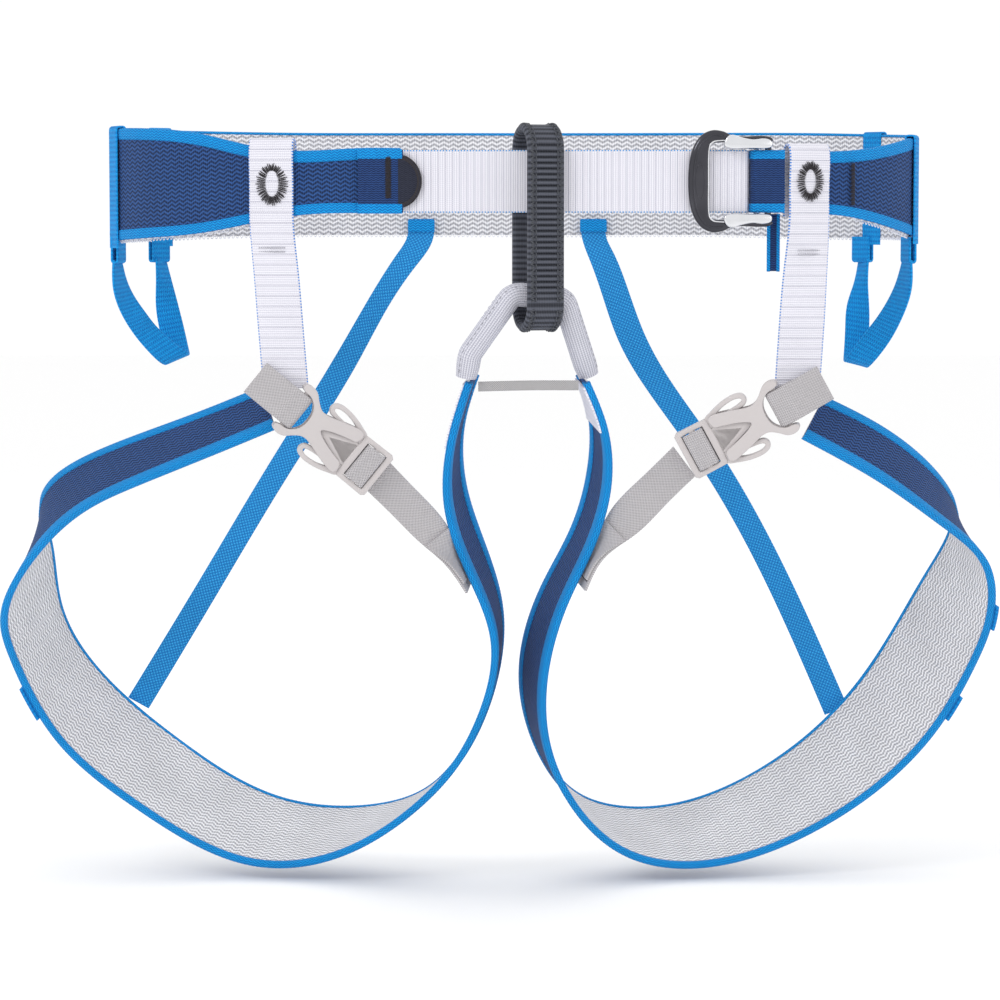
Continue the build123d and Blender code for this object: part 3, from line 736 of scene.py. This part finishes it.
tack = [((-49.3, -64.8, z), (-46.6, -64.8, z + 0.25), (0, -1, 0)) for z in np.arange(-6.6, 9.8, 0.52)]
stitching("strap_end_tack", tack, 0.24, "black_thread", "strap_end_bartack")

# ---- Waist strap ----
BUCKLE_ORIGIN = np.array([88.0, -66.0, 0.0])
BUCKLE_RIGHT = unit((0.989, 0.148, 0))
BUCKLE_OUT = unit((0.148, -0.989, 0))


def in_buckle(x, lift):
    return tuple((BUCKLE_ORIGIN + BUCKLE_RIGHT * x + BUCKLE_OUT * lift)[:2])


strap_path = [
    (-80, -59.2), (-60, -60.9), (-42, -61.3), (-20, -62.7), (12, -64.3), (45, -66),
    in_buckle(-16, -1.2), in_buckle(8.4, -1.2), in_buckle(8.4, -5.4), in_buckle(-28, -6.6),
]


def upright(flat_path, radius, width, pitch=0.7):
    """A strip whose width is vertical, along a path seen from above."""
    seen = rounded_path(flat_path, radius, pitch)
    centres = np.concatenate([seen, np.zeros((len(seen), 1))], axis=1)
    return path_strip(centres, (0, 0, 1), width, 1)


def cross_ribs(run, across):
    """Gentle ribs across a strap."""
    return 0.07 * np.sin(2 * math.pi * run / 2.9)


strap = upright(strap_path, 2.0, STRAP_HEIGHT, 0.6)
cloth("waist_strap", strap, flat(WEBBING, 14), "strap", "waist_strap", cross_ribs)
anchor_path = [in_buckle(22.8, 0.9), in_buckle(10, 1.0), in_buckle(10, -5.4), in_buckle(20, -5.4)]
anchor = upright(anchor_path, 1.5, STRAP_HEIGHT)
cloth("buckle_anchor", anchor, band((0, 3.4), (1, -3.4), 0, WEBBING, 12), "navy_plain",
      "buckle_anchor_webbing")
for name, low, high in (("lower", (0, 0), (0, 3.8)), ("upper", (1, -3.8), (1, 0))):
    cloth(f"buckle_anchor_band_{name}", anchor, band(low, high, 0, WEBBING + 0.4, 6), "binding",
          relief=picots)


# ---- Flat moulded and pressed shapes ----
def plane_axes(origin, x_dir, z_dir):
    """Origin and unit axes of a plane, in millimetres."""
    z = unit(z_dir)
    x = np.array(x_dir, float)
    x = unit(x - (x @ z) * z)
    return np.array(origin, float), x, np.cross(z, x), z


def curved(points, steps=6):
    """A smooth closed outline through a few points."""
    points = [np.array(p, float) for p in points]
    count = len(points)
    route = []
    for i in range(count):
        a, b, c, d = (points[(i + k) % count] for k in (-1, 0, 1, 2))
        for step in range(steps):
            t = step / steps
            part = 2 * b + (c - a) * t + (2 * a - 5 * b + 4 * c - d) * t ** 2
            route.append((part + (3 * b - a - 3 * c + d) * t ** 3) / 2)
    return route


def pressed(name, axes, outlines, low, high, rounding, look, body, stands_for=None, slot=None):
    """A flat shape with rounded edges, from outlines in its plane. Outlines inside another are holes."""
    data = bpy.data.curves.new(name, "CURVE")
    data.dimensions = "2D"
    data.fill_mode = "BOTH"
    data.bevel_depth = rounding / 1000
    data.bevel_resolution = 3
    data.offset = -rounding / 1000
    data.extrude = ((high - low) / 2 - rounding) / 1000
    for outline in outlines:
        line = data.splines.new("POLY")
        line.points.add(len(outline) - 1)
        for point, (x, y) in zip(line.points, outline):
            point.co = (x / 1000, y / 1000, 0, 1)
        line.use_cyclic_u = True
    shape = add(name + "_curve", data)
    bpy.context.view_layer.update()
    mesh = bpy.data.meshes.new_from_object(shape.evaluated_get(bpy.context.evaluated_depsgraph_get()))
    bpy.data.objects.remove(shape)
    mesh.name = name
    origin, x, y, z = axes
    centre = (origin + z * (low + high) / 2) / 1000
    mesh.transform(Matrix([
        (x[0], y[0], z[0], centre[0]), (x[1], y[1], z[1], centre[1]), (x[2], y[2], z[2], centre[2]),
        (0, 0, 0, 1),
    ]))
    return place(shaded(name, mesh, PRESSED_SMOOTH_TO, True), look, body, stands_for, slot)


def flipped(points, sign):
    """An outline as drawn for sign 1, or its mirror image across the centre line for sign -1."""
    return [(x, y * sign) for x, y in points]


def rectangle(left, right, bottom, top):
    return [(left, bottom), (right, bottom), (right, top), (left, top)]


def ellipse(middle, wide, tall):
    return [(middle + wide * math.cos(t), tall * math.sin(t)) for t in np.linspace(0, 2 * math.pi, 41)[:-1]]


def mirrored(half):
    """A whole outline from its upper half, which starts and ends near the centre line."""
    return list(half) + [(x, -y) for x, y in reversed(half) if abs(y) > 0.01]


# ---- Waist buckle ----
BUCKLE = plane_axes(BUCKLE_ORIGIN, BUCKLE_RIGHT, BUCKLE_OUT)
ENDS = (("upper", 1), ("lower", -1))
frame_half = [
    (-16.6, 0), (-16.2, 7), (-14.6, 13.5), (-11.4, 18.2), (-7.0, 20.3), (-2.5, 19.9), (1.2, 18.3), (6, 17.9),
    (12, 18.2), (16.2, 17.9), (17.9, 16.6), (16.2, 15.5), (8, 15.4), (-3, 15.4), (-6.8, 14.8), (-7.8, 12),
    (-7.9, 6), (-7.9, 0),
]
ridge_half = [
    (-15.0, 0), (-14.6, 6.6), (-13.1, 12.8), (-10.4, 16.9), (-7.0, 18.8), (-3.0, 18.4), (-3.2, 17.8),
    (-6.8, 18.0), (-9.9, 16.2), (-12.4, 12.4), (-13.9, 6.4), (-14.3, 0),
]
# A raised lip along the window's left edge of the dark frame. Its bright metal is a painted highlight, not
# the frame's own colour.
highlight_lip_half = [
    (-8.9, 0), (-8.8, 12.0), (-7.4, 15.6), (-4.0, 16.4), (2.0, 16.3), (2.0, 15.8), (-4.0, 15.9), (-6.9, 15.1),
    (-8.3, 11.9), (-8.4, 0),
]
ear = [
    (-2.6, 14.2), (-1.8, 17.2), (0.8, 18.4), (4.5, 17.4), (9, 16.6), (13.5, 17.0), (16.4, 16.2), (17.0, 14.2),
    (15.0, 13.1), (8, 13.0), (0.5, 12.9),
]


def frame_piece(name, outlines, low, high, rounding, stands_for=None, look="dark_metal"):
    """A piece of the buckle's sliding frame."""
    pressed(name, BUCKLE, outlines, low, high, rounding, look, "waist_frame", stands_for, "dark_metal")


def slider_piece(name, outline, low, high, rounding, stands_for=None):
    """A piece of the bright slider that the frame hooks over."""
    pressed(name, BUCKLE, [outline], low, high, rounding, "bright_metal", "harness", stands_for)


frame_piece("buckle_frame", [curved(mirrored(frame_half))], 0.0, 3.0, 1.35, "buckle_frame")
frame_piece("buckle_frame_bar", [rectangle(15.2, 17.8, -16.2, 16.2)], -1.8, -0.2, 0.5)
frame_piece("buckle_frame_ridge", [curved(mirrored(ridge_half))], 2.7, 3.4, 0.25)
# Bright metal on the dark frame: a painted highlight along the window's left edge.
frame_piece("buckle_frame_painted_highlight", [curved(mirrored(highlight_lip_half))], 2.6, 3.4, 0.2, look="bright_metal")
for name, sign in ENDS:
    step = rectangle(15.3, 17.7, 15.4 * sign, 16.6 * sign)
    frame_piece(f"buckle_frame_step_{name}", [step], -0.5, 1.0, 0.2)
frame_piece("buckle_frame_panel", [ellipse(-11.9, 2.0, 7.4), ellipse(-11.9, 1.5, 6.8)], 2.9, 3.15, 0.1)
for name, sign in ENDS:
    slider_piece(f"buckle_ear_{name}", curved(flipped(ear, sign)), 3.4, 5.2, 0.8,
                 "buckle_slider" if sign == 1 else None)
    slider_piece(f"buckle_rail_{name}", rectangle(-1, 14, 13 * sign, 15 * sign), -4.2, -2.4, 0.4)
    slider_piece(f"buckle_web_{name}", rectangle(-1, 8.4, 13 * sign, 15 * sign), -2.6, 3.6, 0.3)
for name, left, right in (("left", 2.0, 6.5), ("right", 11.0, 14.0)):
    slider_piece(f"buckle_bar_{name}", rectangle(left, right, -13.5, 13.5), -4.2, -2.4, 0.7)


# ---- Risers ----
def riser_rails(belt_point, across, top, foot):
    across = unit(across)
    out = np.cross(across, (0, 0, 1))
    path = [(-RISER_OFFSET, -14), (-RISER_OFFSET, 0), (-RISER_OFFSET, top - 2.4)]
    path += [(-1.8, top - 0.7), (0, top), (1.8, top - 0.7)]
    path += [(RISER_OFFSET, top - 2.4), (RISER_OFFSET, 0), (RISER_OFFSET, -14)]
    centres = [np.array(belt_point, float) + out * offset + np.array([0, 0, z]) for offset, z in path]
    directions = [across] * len(centres)
    foot = np.array(foot, float)
    lowest = centres[-1]
    for share in (0.3, 0.6, 0.85, 1.0):
        centres.append(lowest + (foot - lowest) * share)
        blend = min(1.0, share / 0.6)
        directions.append(unit(across * (1 - blend) + np.array([1.0, 0, 0]) * blend))
    half = RISER_WIDTH / 2
    return [tuple(c - d * half) + tuple(c + d * half) for c, d in zip(centres, directions)]


RISERS = {
    "left": riser_rails((-94.5, -58.4, 0), (0.98, -0.2, 0), 16.8, (-89.5, -61, -83)),
    "right": riser_rails((120, -57.5, 0), (0.912, 0.41, 0), 14.6, (116.5, -60.6, -85)),
}


def soft_wrinkles(run, across):
    """Cross ribs, and the slow waves of webbing that hangs under a little load."""
    return cross_ribs(run, across) + 0.16 * np.sin(run / 5.3 + across / 6) * np.sin(run / 17 + 1)


for name, rails in RISERS.items():
    riser = strip(rails, -1, 0.7)
    cloth(f"riser_{name}", riser, flat(WEBBING, 12), "riser", f"riser_{name}", soft_wrinkles)

RING_STITCHES = 54
TACKS = {
    "left": (plane_axes((-94.7, -61.7, -1), (0.98, -0.2, 0), (-0.2, -0.98, 0)), (6.5, 8.5), -27),
    "right": (plane_axes((121.4, -60.8, 0), (0.912, 0.41, 0), (0.41, -0.912, 0)), (6.0, 8.0), -29),
}
for name, (axes, (wide, tall), line_drop) in TACKS.items():
    origin, x, y, z = axes
    ring = []
    for i in range(RING_STITCHES):
        turn = 2 * math.pi * i / RING_STITCHES
        uneven = (1.0 + 0.07 * math.sin(i * 2.4), 1.0 + 0.05 * math.sin(i * 1.7))
        ends = [
            origin + x * wide * across * math.cos(turn) + y * tall * up * math.sin(turn) + z * 0.2
            for across, up in ((0.40, 0.60), uneven)
        ]
        ring.append((*ends, z))
    stitching(f"riser_tack_{name}", ring, 0.23, "black_thread", f"riser_bartack_{name}")
    lines = []
    for row in (0, 1.6):
        for at in np.arange(-5.6, 5.6, 0.8):
            start = origin + x * at + y * (line_drop + 1 - row) - z * 0.05
            lines.append((start, start + x * 0.5 + y * 0.9, z))
    stitching(f"riser_line_{name}", lines, 0.13, "grey_thread", rise=0.25)

# ---- Belay loop ----
RIB_PITCH = 2.25
BELAY = plane_axes((12, -63, -18.5), (0.316, -0.949, 0), (-0.949, -0.316, 0))
radius = BELAY_DEPTH / 2 - BELAY_THICKNESS / 2
straight = (BELAY_HEIGHT - BELAY_DEPTH) / 2
loop_path = [(radius, y) for y in np.arange(-straight, straight, 0.45)]
loop_path += [(radius * math.cos(t), straight + radius * math.sin(t)) for t in np.linspace(0, math.pi, 60)]
loop_path += [(-radius, -y) for y in np.arange(-straight + 0.45, straight, 0.45)]
loop_path += [(-radius * math.cos(t), -straight - radius * math.sin(t)) for t in np.linspace(0, math.pi, 60)]
origin, x, y, z = BELAY
loop_centres = np.array([origin + x * px + y * py for px, py in loop_path])
loop = path_strip(loop_centres, -z, BELAY_WIDTH, 1)
rib_start, rib_end = 4.0, 2 * straight + 4
back_start = 2 * straight + math.pi * radius


def belay_relief(run, across):
    """Ribs between the two stitched rows, and a rolled shoulder along each edge."""
    inside = 1 / (1 + np.exp((np.abs(across - BELAY_WIDTH / 2) - 4.2) * 5))
    zone = 1 / (1 + np.exp((rib_start - run) * 2)) / (1 + np.exp((run - rib_end) * 2))
    back = 1 / (1 + np.exp((back_start - run) * 2)) / (1 + np.exp((run - back_start - 2 * straight) * 2))
    rib = np.abs(np.sin(math.pi * run / RIB_PITCH))
    shoulder = np.exp(-((np.abs(across - BELAY_WIDTH / 2) - 6.3) / 1.1) ** 2)
    return 0.95 * rib * inside * (zone + back) + 0.4 * shoulder - 0.3


belay_outline = flat(BELAY_THICKNESS, 34)
belay_outline[belay_outline[:, 3] < 0, 3] = 0
cloth("belay_loop", loop, belay_outline, "charcoal", "belay_loop", belay_relief, body="belay_ring",
      caps=False)
belay_stitches = []
top = BELAY_THICKNESS / 2 + 0.05
for low, high in ((1.0, 2.6), (BELAY_WIDTH - 2.6, BELAY_WIDTH - 1.0)):
    belay_stitches += zigzag_stitches(loop, 1.0, loop.run[-1] - 1, low, high, 0.75, top)
for across in (3.2, BELAY_WIDTH - 3.2):
    belay_stitches += run_stitches(loop, 1.0, loop.run[-1] - 2, across, RIB_PITCH, top, 0.25)
stitching("belay_stitching", belay_stitches, 0.27, "charcoal_thread", "belay_loop_stitching", 0.3,
          "belay_ring")

# ---- Tie-in loop ----
TIE_IN = plane_axes((8.5, -63, -46), (0.97, 0.24, 0), (0.23, -0.94, -0.25))
TIE_IN_PATH = [(-24, -33.5), (-23, -24), (-7, 1), (14.5, -1), (27, -33.2)]
origin, x, y, z = TIE_IN
tie_centres = np.array([origin + x * px + y * py for px, py in rounded_path(TIE_IN_PATH, 6.0, 0.5)])


def tube(name, centres, normal, radius_at, sides=28):
    """A padded tube round a path. radius_at(run, turn) gives its radius."""
    side = unit_rows(np.cross(unit_rows(np.gradient(centres, axis=0)), normal))
    run = run_along(centres)
    turn = np.linspace(0, 2 * math.pi, sides, endpoint=False)
    size = radius_at(run[:, None], turn[None, :])
    ring = side[:, None] * np.cos(turn)[None, :, None] + normal[None, None] * np.sin(turn)[None, :, None]
    points = centres[:, None] + ring * size[..., None]
    across = np.broadcast_to(turn[None, :] * TIE_IN_RADIUS, size.shape)
    return skin(name, points, run, across)


def sheath_radius(run, turn):
    """The tube is slightly flattened, creased inside its bends and pinched at its ends."""
    oval = 1 + 0.05 * np.cos(2 * turn)
    bends = np.exp(-((run - 30) / 6) ** 2) + np.exp(-((run - 52) / 6) ** 2)
    crease = 0.22 * bends * np.sin(run * 2.4) * np.exp(-((np.cos(turn) + 1) / 0.7) ** 2)
    pinch = 1 - 0.12 * np.exp(-(run / 3.0) ** 2) - 0.12 * np.exp(-((run - run.max()) / 3.0) ** 2)
    return (TIE_IN_RADIUS * oval + crease) * pinch


place(tube("tie_in_sheath", tie_centres, z, sheath_radius), "sheath", "harness", "tie_in_sheath")


def core_radius(run, turn):
    return 2.75 + 0.2 * np.cos(7 * turn + run / 4)


place(tube("tie_in_core", tie_centres, z, core_radius, 42), "core", "harness", "tie_in_core")
seam = []
for i in range(4, len(tie_centres) - 8, 5):
    tangent = unit(tie_centres[i + 1] - tie_centres[i - 1])
    side = unit(np.cross(tangent, z))
    out = unit(-side * 0.85 + z * 0.5)
    seam.append((tie_centres[i] + out * 4.72, tie_centres[i + 3] + out * 4.72, out))
stitching("tie_in_seam", seam, 0.16, "grey_thread", rise=0.2)

crossbar_rails = [
    (-12, -58, -84.5, -12, -58, -80.5), (8, -58.5, -84, 8, -58.5, -80), (28.5, -58, -84, 28.5, -58, -80),
]
cloth("crossbar", strip(crossbar_rails, -1, 0.6), flat(1.0, 8), "pale_elastic",
      "crossbar_elastic", cross_ribs)

# ---- Leg loops ----
LEGS = {
    "left": (LEFT_LEG, 1, LEFT_ADJUST, [(0.32, 0.345)], (0.955, INNER_PATCH_LIFT)),
    "right": (RIGHT_LEG, -1, RIGHT_ADJUST, [(0.22, 0.24), (0.30, 0.32)], (0.965, PATCH_LIFT)),
}
for name, (rails, facing, adjust_rails, tab_spans, (patch_start, patch_lift)) in LEGS.items():
    leg = strip(rails, facing, 1.6)
    leg_fine = strip(rails, facing, 0.55)
    cloth(f"leg_{name}_outer", leg, band(*MIDDLE, WEBBING / 2, WEBBING, 20), "navy",
          f"leg_{name}_outer_webbing", puckers)
    cloth(f"leg_{name}_lining", leg, band(*FULL, LINING_LIFT, LINING, 20), "lining",
          f"leg_{name}_inner_mesh", puckers)
    for edge_name, second, inner_depth in (("front", False, 2.2), ("back", True, 1.6)):
        cloth(f"leg_{name}_binding_{edge_name}", leg_fine, binding(second, inner_depth), "binding",
              f"leg_{name}_edge_{edge_name}", picots, folded=True)
    end = strip(rails, facing, 0.7, patch_start, 0.998)
    cloth(f"leg_{name}_end_patch", end, band(*FULL, patch_lift, 0.8, 12), "patch", f"leg_{name}_end_patch",
          cross_ribs)
    for i, span in enumerate(tab_spans):
        tab = strip(rails, facing, 0.6, *span)
        replaced = f"leg_{name}_tab" if i == 0 else None
        cloth(f"leg_{name}_tab_{i}", tab, band((0, -1.6), (0, 5.0), PATCH_LIFT, 1.0, 8), "gear", replaced)
    adjust = strip(adjust_rails, facing, 0.7)
    cloth(f"leg_{name}_adjust", adjust, flat(WEBBING, 12), "grey", f"leg_{name}_adjust_webbing")
    fold = strip(adjust_rails, facing, 0.7, 0.57, 0.93)
    cloth(f"leg_{name}_adjust_fold", fold, band((0, 0.2), (1, -0.2), 1.2, 1.1, 12), "grey",
          relief=cross_ribs)
    bars = []
    last = adjust.run[-1]
    for across in np.arange(1.6, adjust.width[-1] - 1.4, 0.62):
        first, out = on_strip(adjust, last - 6.2, across, 0.65)
        second, _ = on_strip(adjust, last - 3.6, across + 0.25, 0.65)
        bars.append((first, second, out))
    stitching(f"leg_{name}_bartack", bars, 0.26, "black_thread", rise=0.3)

# ---- Side-release buckles ----
SIDES = {
    "left": plane_axes((-85.5, -65.5, -91.5), (0.76, 0.15, -0.63), (0.15, -0.98, -0.05)),
    "right": plane_axes((109.5, -65.5, -90.5), (-0.87, 0.15, -0.47), (-0.13, -0.99, -0.08)),
}
SOCKET_HALF = [
    (6.4, 0), (6.0, 3.2), (4.4, 6.0), (1.6, 7.9), (-1.8, 8.3), (-3.4, 9.2), (-3.0, 10.9), (-0.6, 11.7),
    (2.4, 11.0), (5.2, 8.6), (8.0, 6.7), (11.0, 6.4), (15.0, 7.5), (20.0, 9.0), (25.2, 10.2), (27.6, 9.6),
    (28.0, 7.6), (26.9, 5.3), (24.0, 4.5), (19.5, 3.2), (15.2, 1.6), (13.0, 0),
]
ARM = [
    (29.4, 5.0), (29.4, 9.8), (26.0, 11.5), (20.5, 13.1), (15.0, 13.6), (11.3, 12.5), (10.3, 9.9),
    (12.0, 7.7), (16.0, 7.2), (21.0, 7.0), (25.5, 5.6),
]
ARM_SLOT = [
    (24.8, 9.2), (20.5, 11.0), (15.5, 11.6), (12.7, 10.9), (12.6, 9.7), (15.5, 9.0), (20.5, 8.6), (24.0, 8.2),
]
POST = [(-3.0, 8.8), (-2.4, 11.0), (1.8, 10.8), (1.6, 8.6)]
STRUT = [(28.9, 6.5), (13.0, 0.9), (13.0, -0.9), (28.9, -6.5)]
STRUT_WINDOW = [(28.2, 4.2), (18.5, 0), (28.2, -4.2)]
LADDER = [
    (28.5, 9.0), (29.4, 10.1), (42.2, 10.3), (43.5, 9.2), (43.5, -9.2), (42.2, -10.3), (29.4, -10.1),
    (28.5, -9.0),
]
LADDER_WINDOWS = [
    [(left, -8.0), (left, 8.0), (right, 8.0), (right, -8.0)] for left, right in ((31.4, 35.0), (37.4, 40.8))
]


def side_path(axes, points, bend, width):
    """A strip whose width runs across a buckle, along a path of (x, height above its plane)."""
    start, right, up, out = axes
    centres = np.array([start + right * px + out * pz for px, pz in rounded_path(points, bend, 0.5)])
    return path_strip(centres, up, width, 1)


def even_radius(run, turn):
    """The round bar that each socket's webbing goes over."""
    return 1.6 + 0 * run * turn


for name, axes in SIDES.items():
    origin, x, y, z = axes
    plug_body = f"plug_{name}"
    socket_outline = curved(mirrored(SOCKET_HALF), steps=4)
    pressed(f"{name}_socket_front", axes, [socket_outline], 2.2, 3.6, 0.45, "plastic", "harness",
            f"{name}_buckle_socket")
    pressed(f"{name}_socket_back", axes, [socket_outline], -3.4, -2.2, 0.45, "plastic", "harness")
    for end_name, sign in ENDS:
        post = curved(flipped(POST, sign), steps=4)
        pressed(f"{name}_socket_post_{end_name}", axes, [post], -2.4, 2.4, 0.3, "plastic", "harness")
        arm = [curved(flipped(outline, sign), steps=5) for outline in (ARM, ARM_SLOT)]
        pressed(f"{name}_plug_arm_{end_name}", axes, arm, -1.8, 1.8, 0.5, "plastic", plug_body)
    pressed(f"{name}_plug_strut", axes, [STRUT, STRUT_WINDOW], -1.8, 1.8, 0.4, "plastic", plug_body)
    bar_centres = np.array([origin + y * at for at in np.linspace(-8.8, 8.8, 12)])
    place(tube(f"{name}_socket_bar", bar_centres, z, even_radius, 20), "plastic", "harness")
    core = rectangle(7.5, 11.5, -3, 3)
    pressed(f"{name}_socket_core", axes, [core], -2.3, 2.3, 0.2, "plastic", "harness")
    pressed(f"{name}_plug_ladder", axes, [LADDER, *LADDER_WINDOWS], -2.2, 2.2, 0.6, "plastic", plug_body,
            f"{name}_buckle_plug")
    wrap = side_path(axes, [(-9, -3.2), (0, -2.6), (2.6, -2.6), (2.6, 2.6), (-5, 2.4), (-20, -5.2)], 2.0,
                     SIDE_WEBBING_WIDTH)
    cloth(f"{name}_anchor_webbing", wrap, flat(WEBBING, 12), "grey", f"{name}_anchor_webbing",
          cross_ribs)
    hook_path = [(32.2, -2.0), (32.4, 3.1), (39.9, 3.1), (40.1, -2.0)]
    hook = side_path(axes, hook_path, 1.0, SIDE_WEBBING_WIDTH + 0.6)
    cloth(f"{name}_ladder_webbing", hook, flat(1.1, 12), "grey", f"{name}_ladder_webbing",
          cross_ribs, body=plug_body)

# ---- Rear elastics ----
for name, rails in (("left", LEFT_ELASTIC), ("right", RIGHT_ELASTIC)):
    cloth(f"rear_elastic_{name}", strip(rails, -1, 0.9), flat(1.0, 10), "elastic",
          f"rear_elastic_{name}")
    middle = (rails[0][0] + rails[0][3]) / 2
    tab = front_strip(middle - 5.8, middle + 5.8, -20.6, -15.4, 60.4)
    cloth(f"elastic_tab_{name}", tab, flat(1.1, 8), "binding", f"elastic_tab_{name}", picots)
    bars = []
    for height in (-16.2, -19.8):
        bars += run_stitches(tab, 0.5, 11.2, height + 20.6, 1.1, 0.5, 0.2)
    stitching(f"elastic_tab_stitches_{name}", bars, 0.2, "white_thread", rise=0.25)

# ---- Gear loops and their tabs ----
GEAR = {
    "left": (LEFT_GEAR, ((-161.9, -11), (-149.5, 37.5)), ((0.25, 0.97, 0), (0.71, 0.71, 0))),
    "right": (RIGHT_GEAR, ((166.7, -11), (152.5, 37.5)), ((-0.28, 0.96, 0), (-0.71, 0.71, 0))),
}
for name, (rails, places, directions) in GEAR.items():
    gear = strip(rails, 1, 0.8)
    cloth(f"gear_loop_{name}", gear, band(*FULL, 0.6, 1.2, 8), "gear", f"gear_loop_{name}", cross_ribs,
          body=f"gear_{name}")
    for end_name, (px, py), along in zip(("side", "back"), places, directions):
        across = np.cross(unit(along), (0, 0, 1))
        route = rounded_path([(-1.2, -22.5), (-1.25, -33), (1.25, -33), (1.2, -22.5)], 1.1, 0.5)
        centres = np.array([np.array([px, py, 0]) + across * a + np.array([0, 0, h]) for a, h in route])
        replaced = f"gear_loop_tabs_{name}" if end_name == "side" else None
        fold = path_strip(centres, along, 9.6)
        cloth(f"gear_tab_{name}_{end_name}", fold, flat(1.1, 8), "gear", replaced, picots)

# ---- Bartack of the right wing, and the tail tab behind the right riser ----
origin, x, y, z = plane_axes((139.5, -50.2, -1), (0.76, 0.65, 0), (0.65, -0.76, 0))
tack = []
for at in np.arange(-8.4, 8.4, 0.55):
    start = origin - x * 1.2 + y * at + z * 0.2
    tack.append((start, start + x * 2.4 + y * 0.2, z))
stitching("wing_tack", tack, 0.24, "black_thread", "wing_bartack")
tail = front_strip(104.6, 109.4, -36.0, -13.0, -55.6)
cloth("strap_tail_tab", tail, flat(1.1, 14), "navy_plain", "strap_tail_tab")
for name, left in (("left", 104.4), ("right", 108.3)):
    edge = front_strip(left, left + 1.3, -36.2, -12.9, -55.7, 0.3)
    cloth(f"strap_tail_edge_{name}", edge, flat(1.5, 14), "binding")

# ---- Floor, lights and camera: metres ----
FLOOR_REACH, FLOOR_HEIGHT, FLOOR_WHITE = 6, -0.3, 0.97
WORLD_BRIGHTNESS = 1.02
CAMERA_DISTANCE, CAMERA_DEGREES_UP, CAMERA_LENS = 1.5, 4.5, 128.2
floor_mesh = bpy.data.meshes.new("floor")
floor_corners = rectangle(-FLOOR_REACH, FLOOR_REACH, -FLOOR_REACH, FLOOR_REACH)
floor_mesh.from_pydata([(x, y, FLOOR_HEIGHT) for x, y in floor_corners], [], [(0, 1, 2, 3)])
pale = bpy.data.materials.new("pale_floor")
pale.use_nodes = True
pale_shader = pale.node_tree.nodes["Principled BSDF"]
pale_shader.inputs["Base Color"].default_value = (FLOOR_WHITE, FLOOR_WHITE, FLOOR_WHITE, 1)
pale_shader.inputs["Roughness"].default_value = 0.9
floor_mesh.materials.append(pale)
add("floor", floor_mesh)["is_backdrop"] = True

world = bpy.data.worlds.new("studio")
world.use_nodes = True
background = world.node_tree.nodes["Background"]
background.inputs["Color"].default_value = (1, 1, 1, 1)
background.inputs["Strength"].default_value = WORLD_BRIGHTNESS
bpy.context.scene.world = world


def softbox(name, location, target, size, power):
    light = bpy.data.lights.new(name, "AREA")
    light.size = size
    light.energy = power
    obj = add(name, light)
    obj.location = location
    obj.rotation_mode = "QUATERNION"
    obj.rotation_quaternion = (Vector(target) - Vector(location)).to_track_quat("-Z", "Y")


MODEL_CENTRE = (0, 0, -0.13)
softbox("key", (-0.9, -1.3, 0.9), MODEL_CENTRE, 0.5, 6)
softbox("fill", (1.2, -1.1, 0.3), MODEL_CENTRE, 0.7, 2)
softbox("back", (0.2, 1.3, 1.0), MODEL_CENTRE, 1.2, 3)

TARGET = Vector((-0.0032, 0, -0.133))
elevation = math.radians(CAMERA_DEGREES_UP)
look = Vector((0, math.cos(elevation), -math.sin(elevation)))
camera_data = bpy.data.cameras.new("camera")
camera_data.sensor_width = 36
camera_data.lens = CAMERA_LENS
camera = add("camera", camera_data)
camera.location = TARGET - look * CAMERA_DISTANCE
camera.rotation_mode = "QUATERNION"
camera.rotation_quaternion = look.to_track_quat("-Z", "Y")
bpy.context.scene.camera = camera
bpy.context.scene.view_settings.view_transform = "Standard"

low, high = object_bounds()
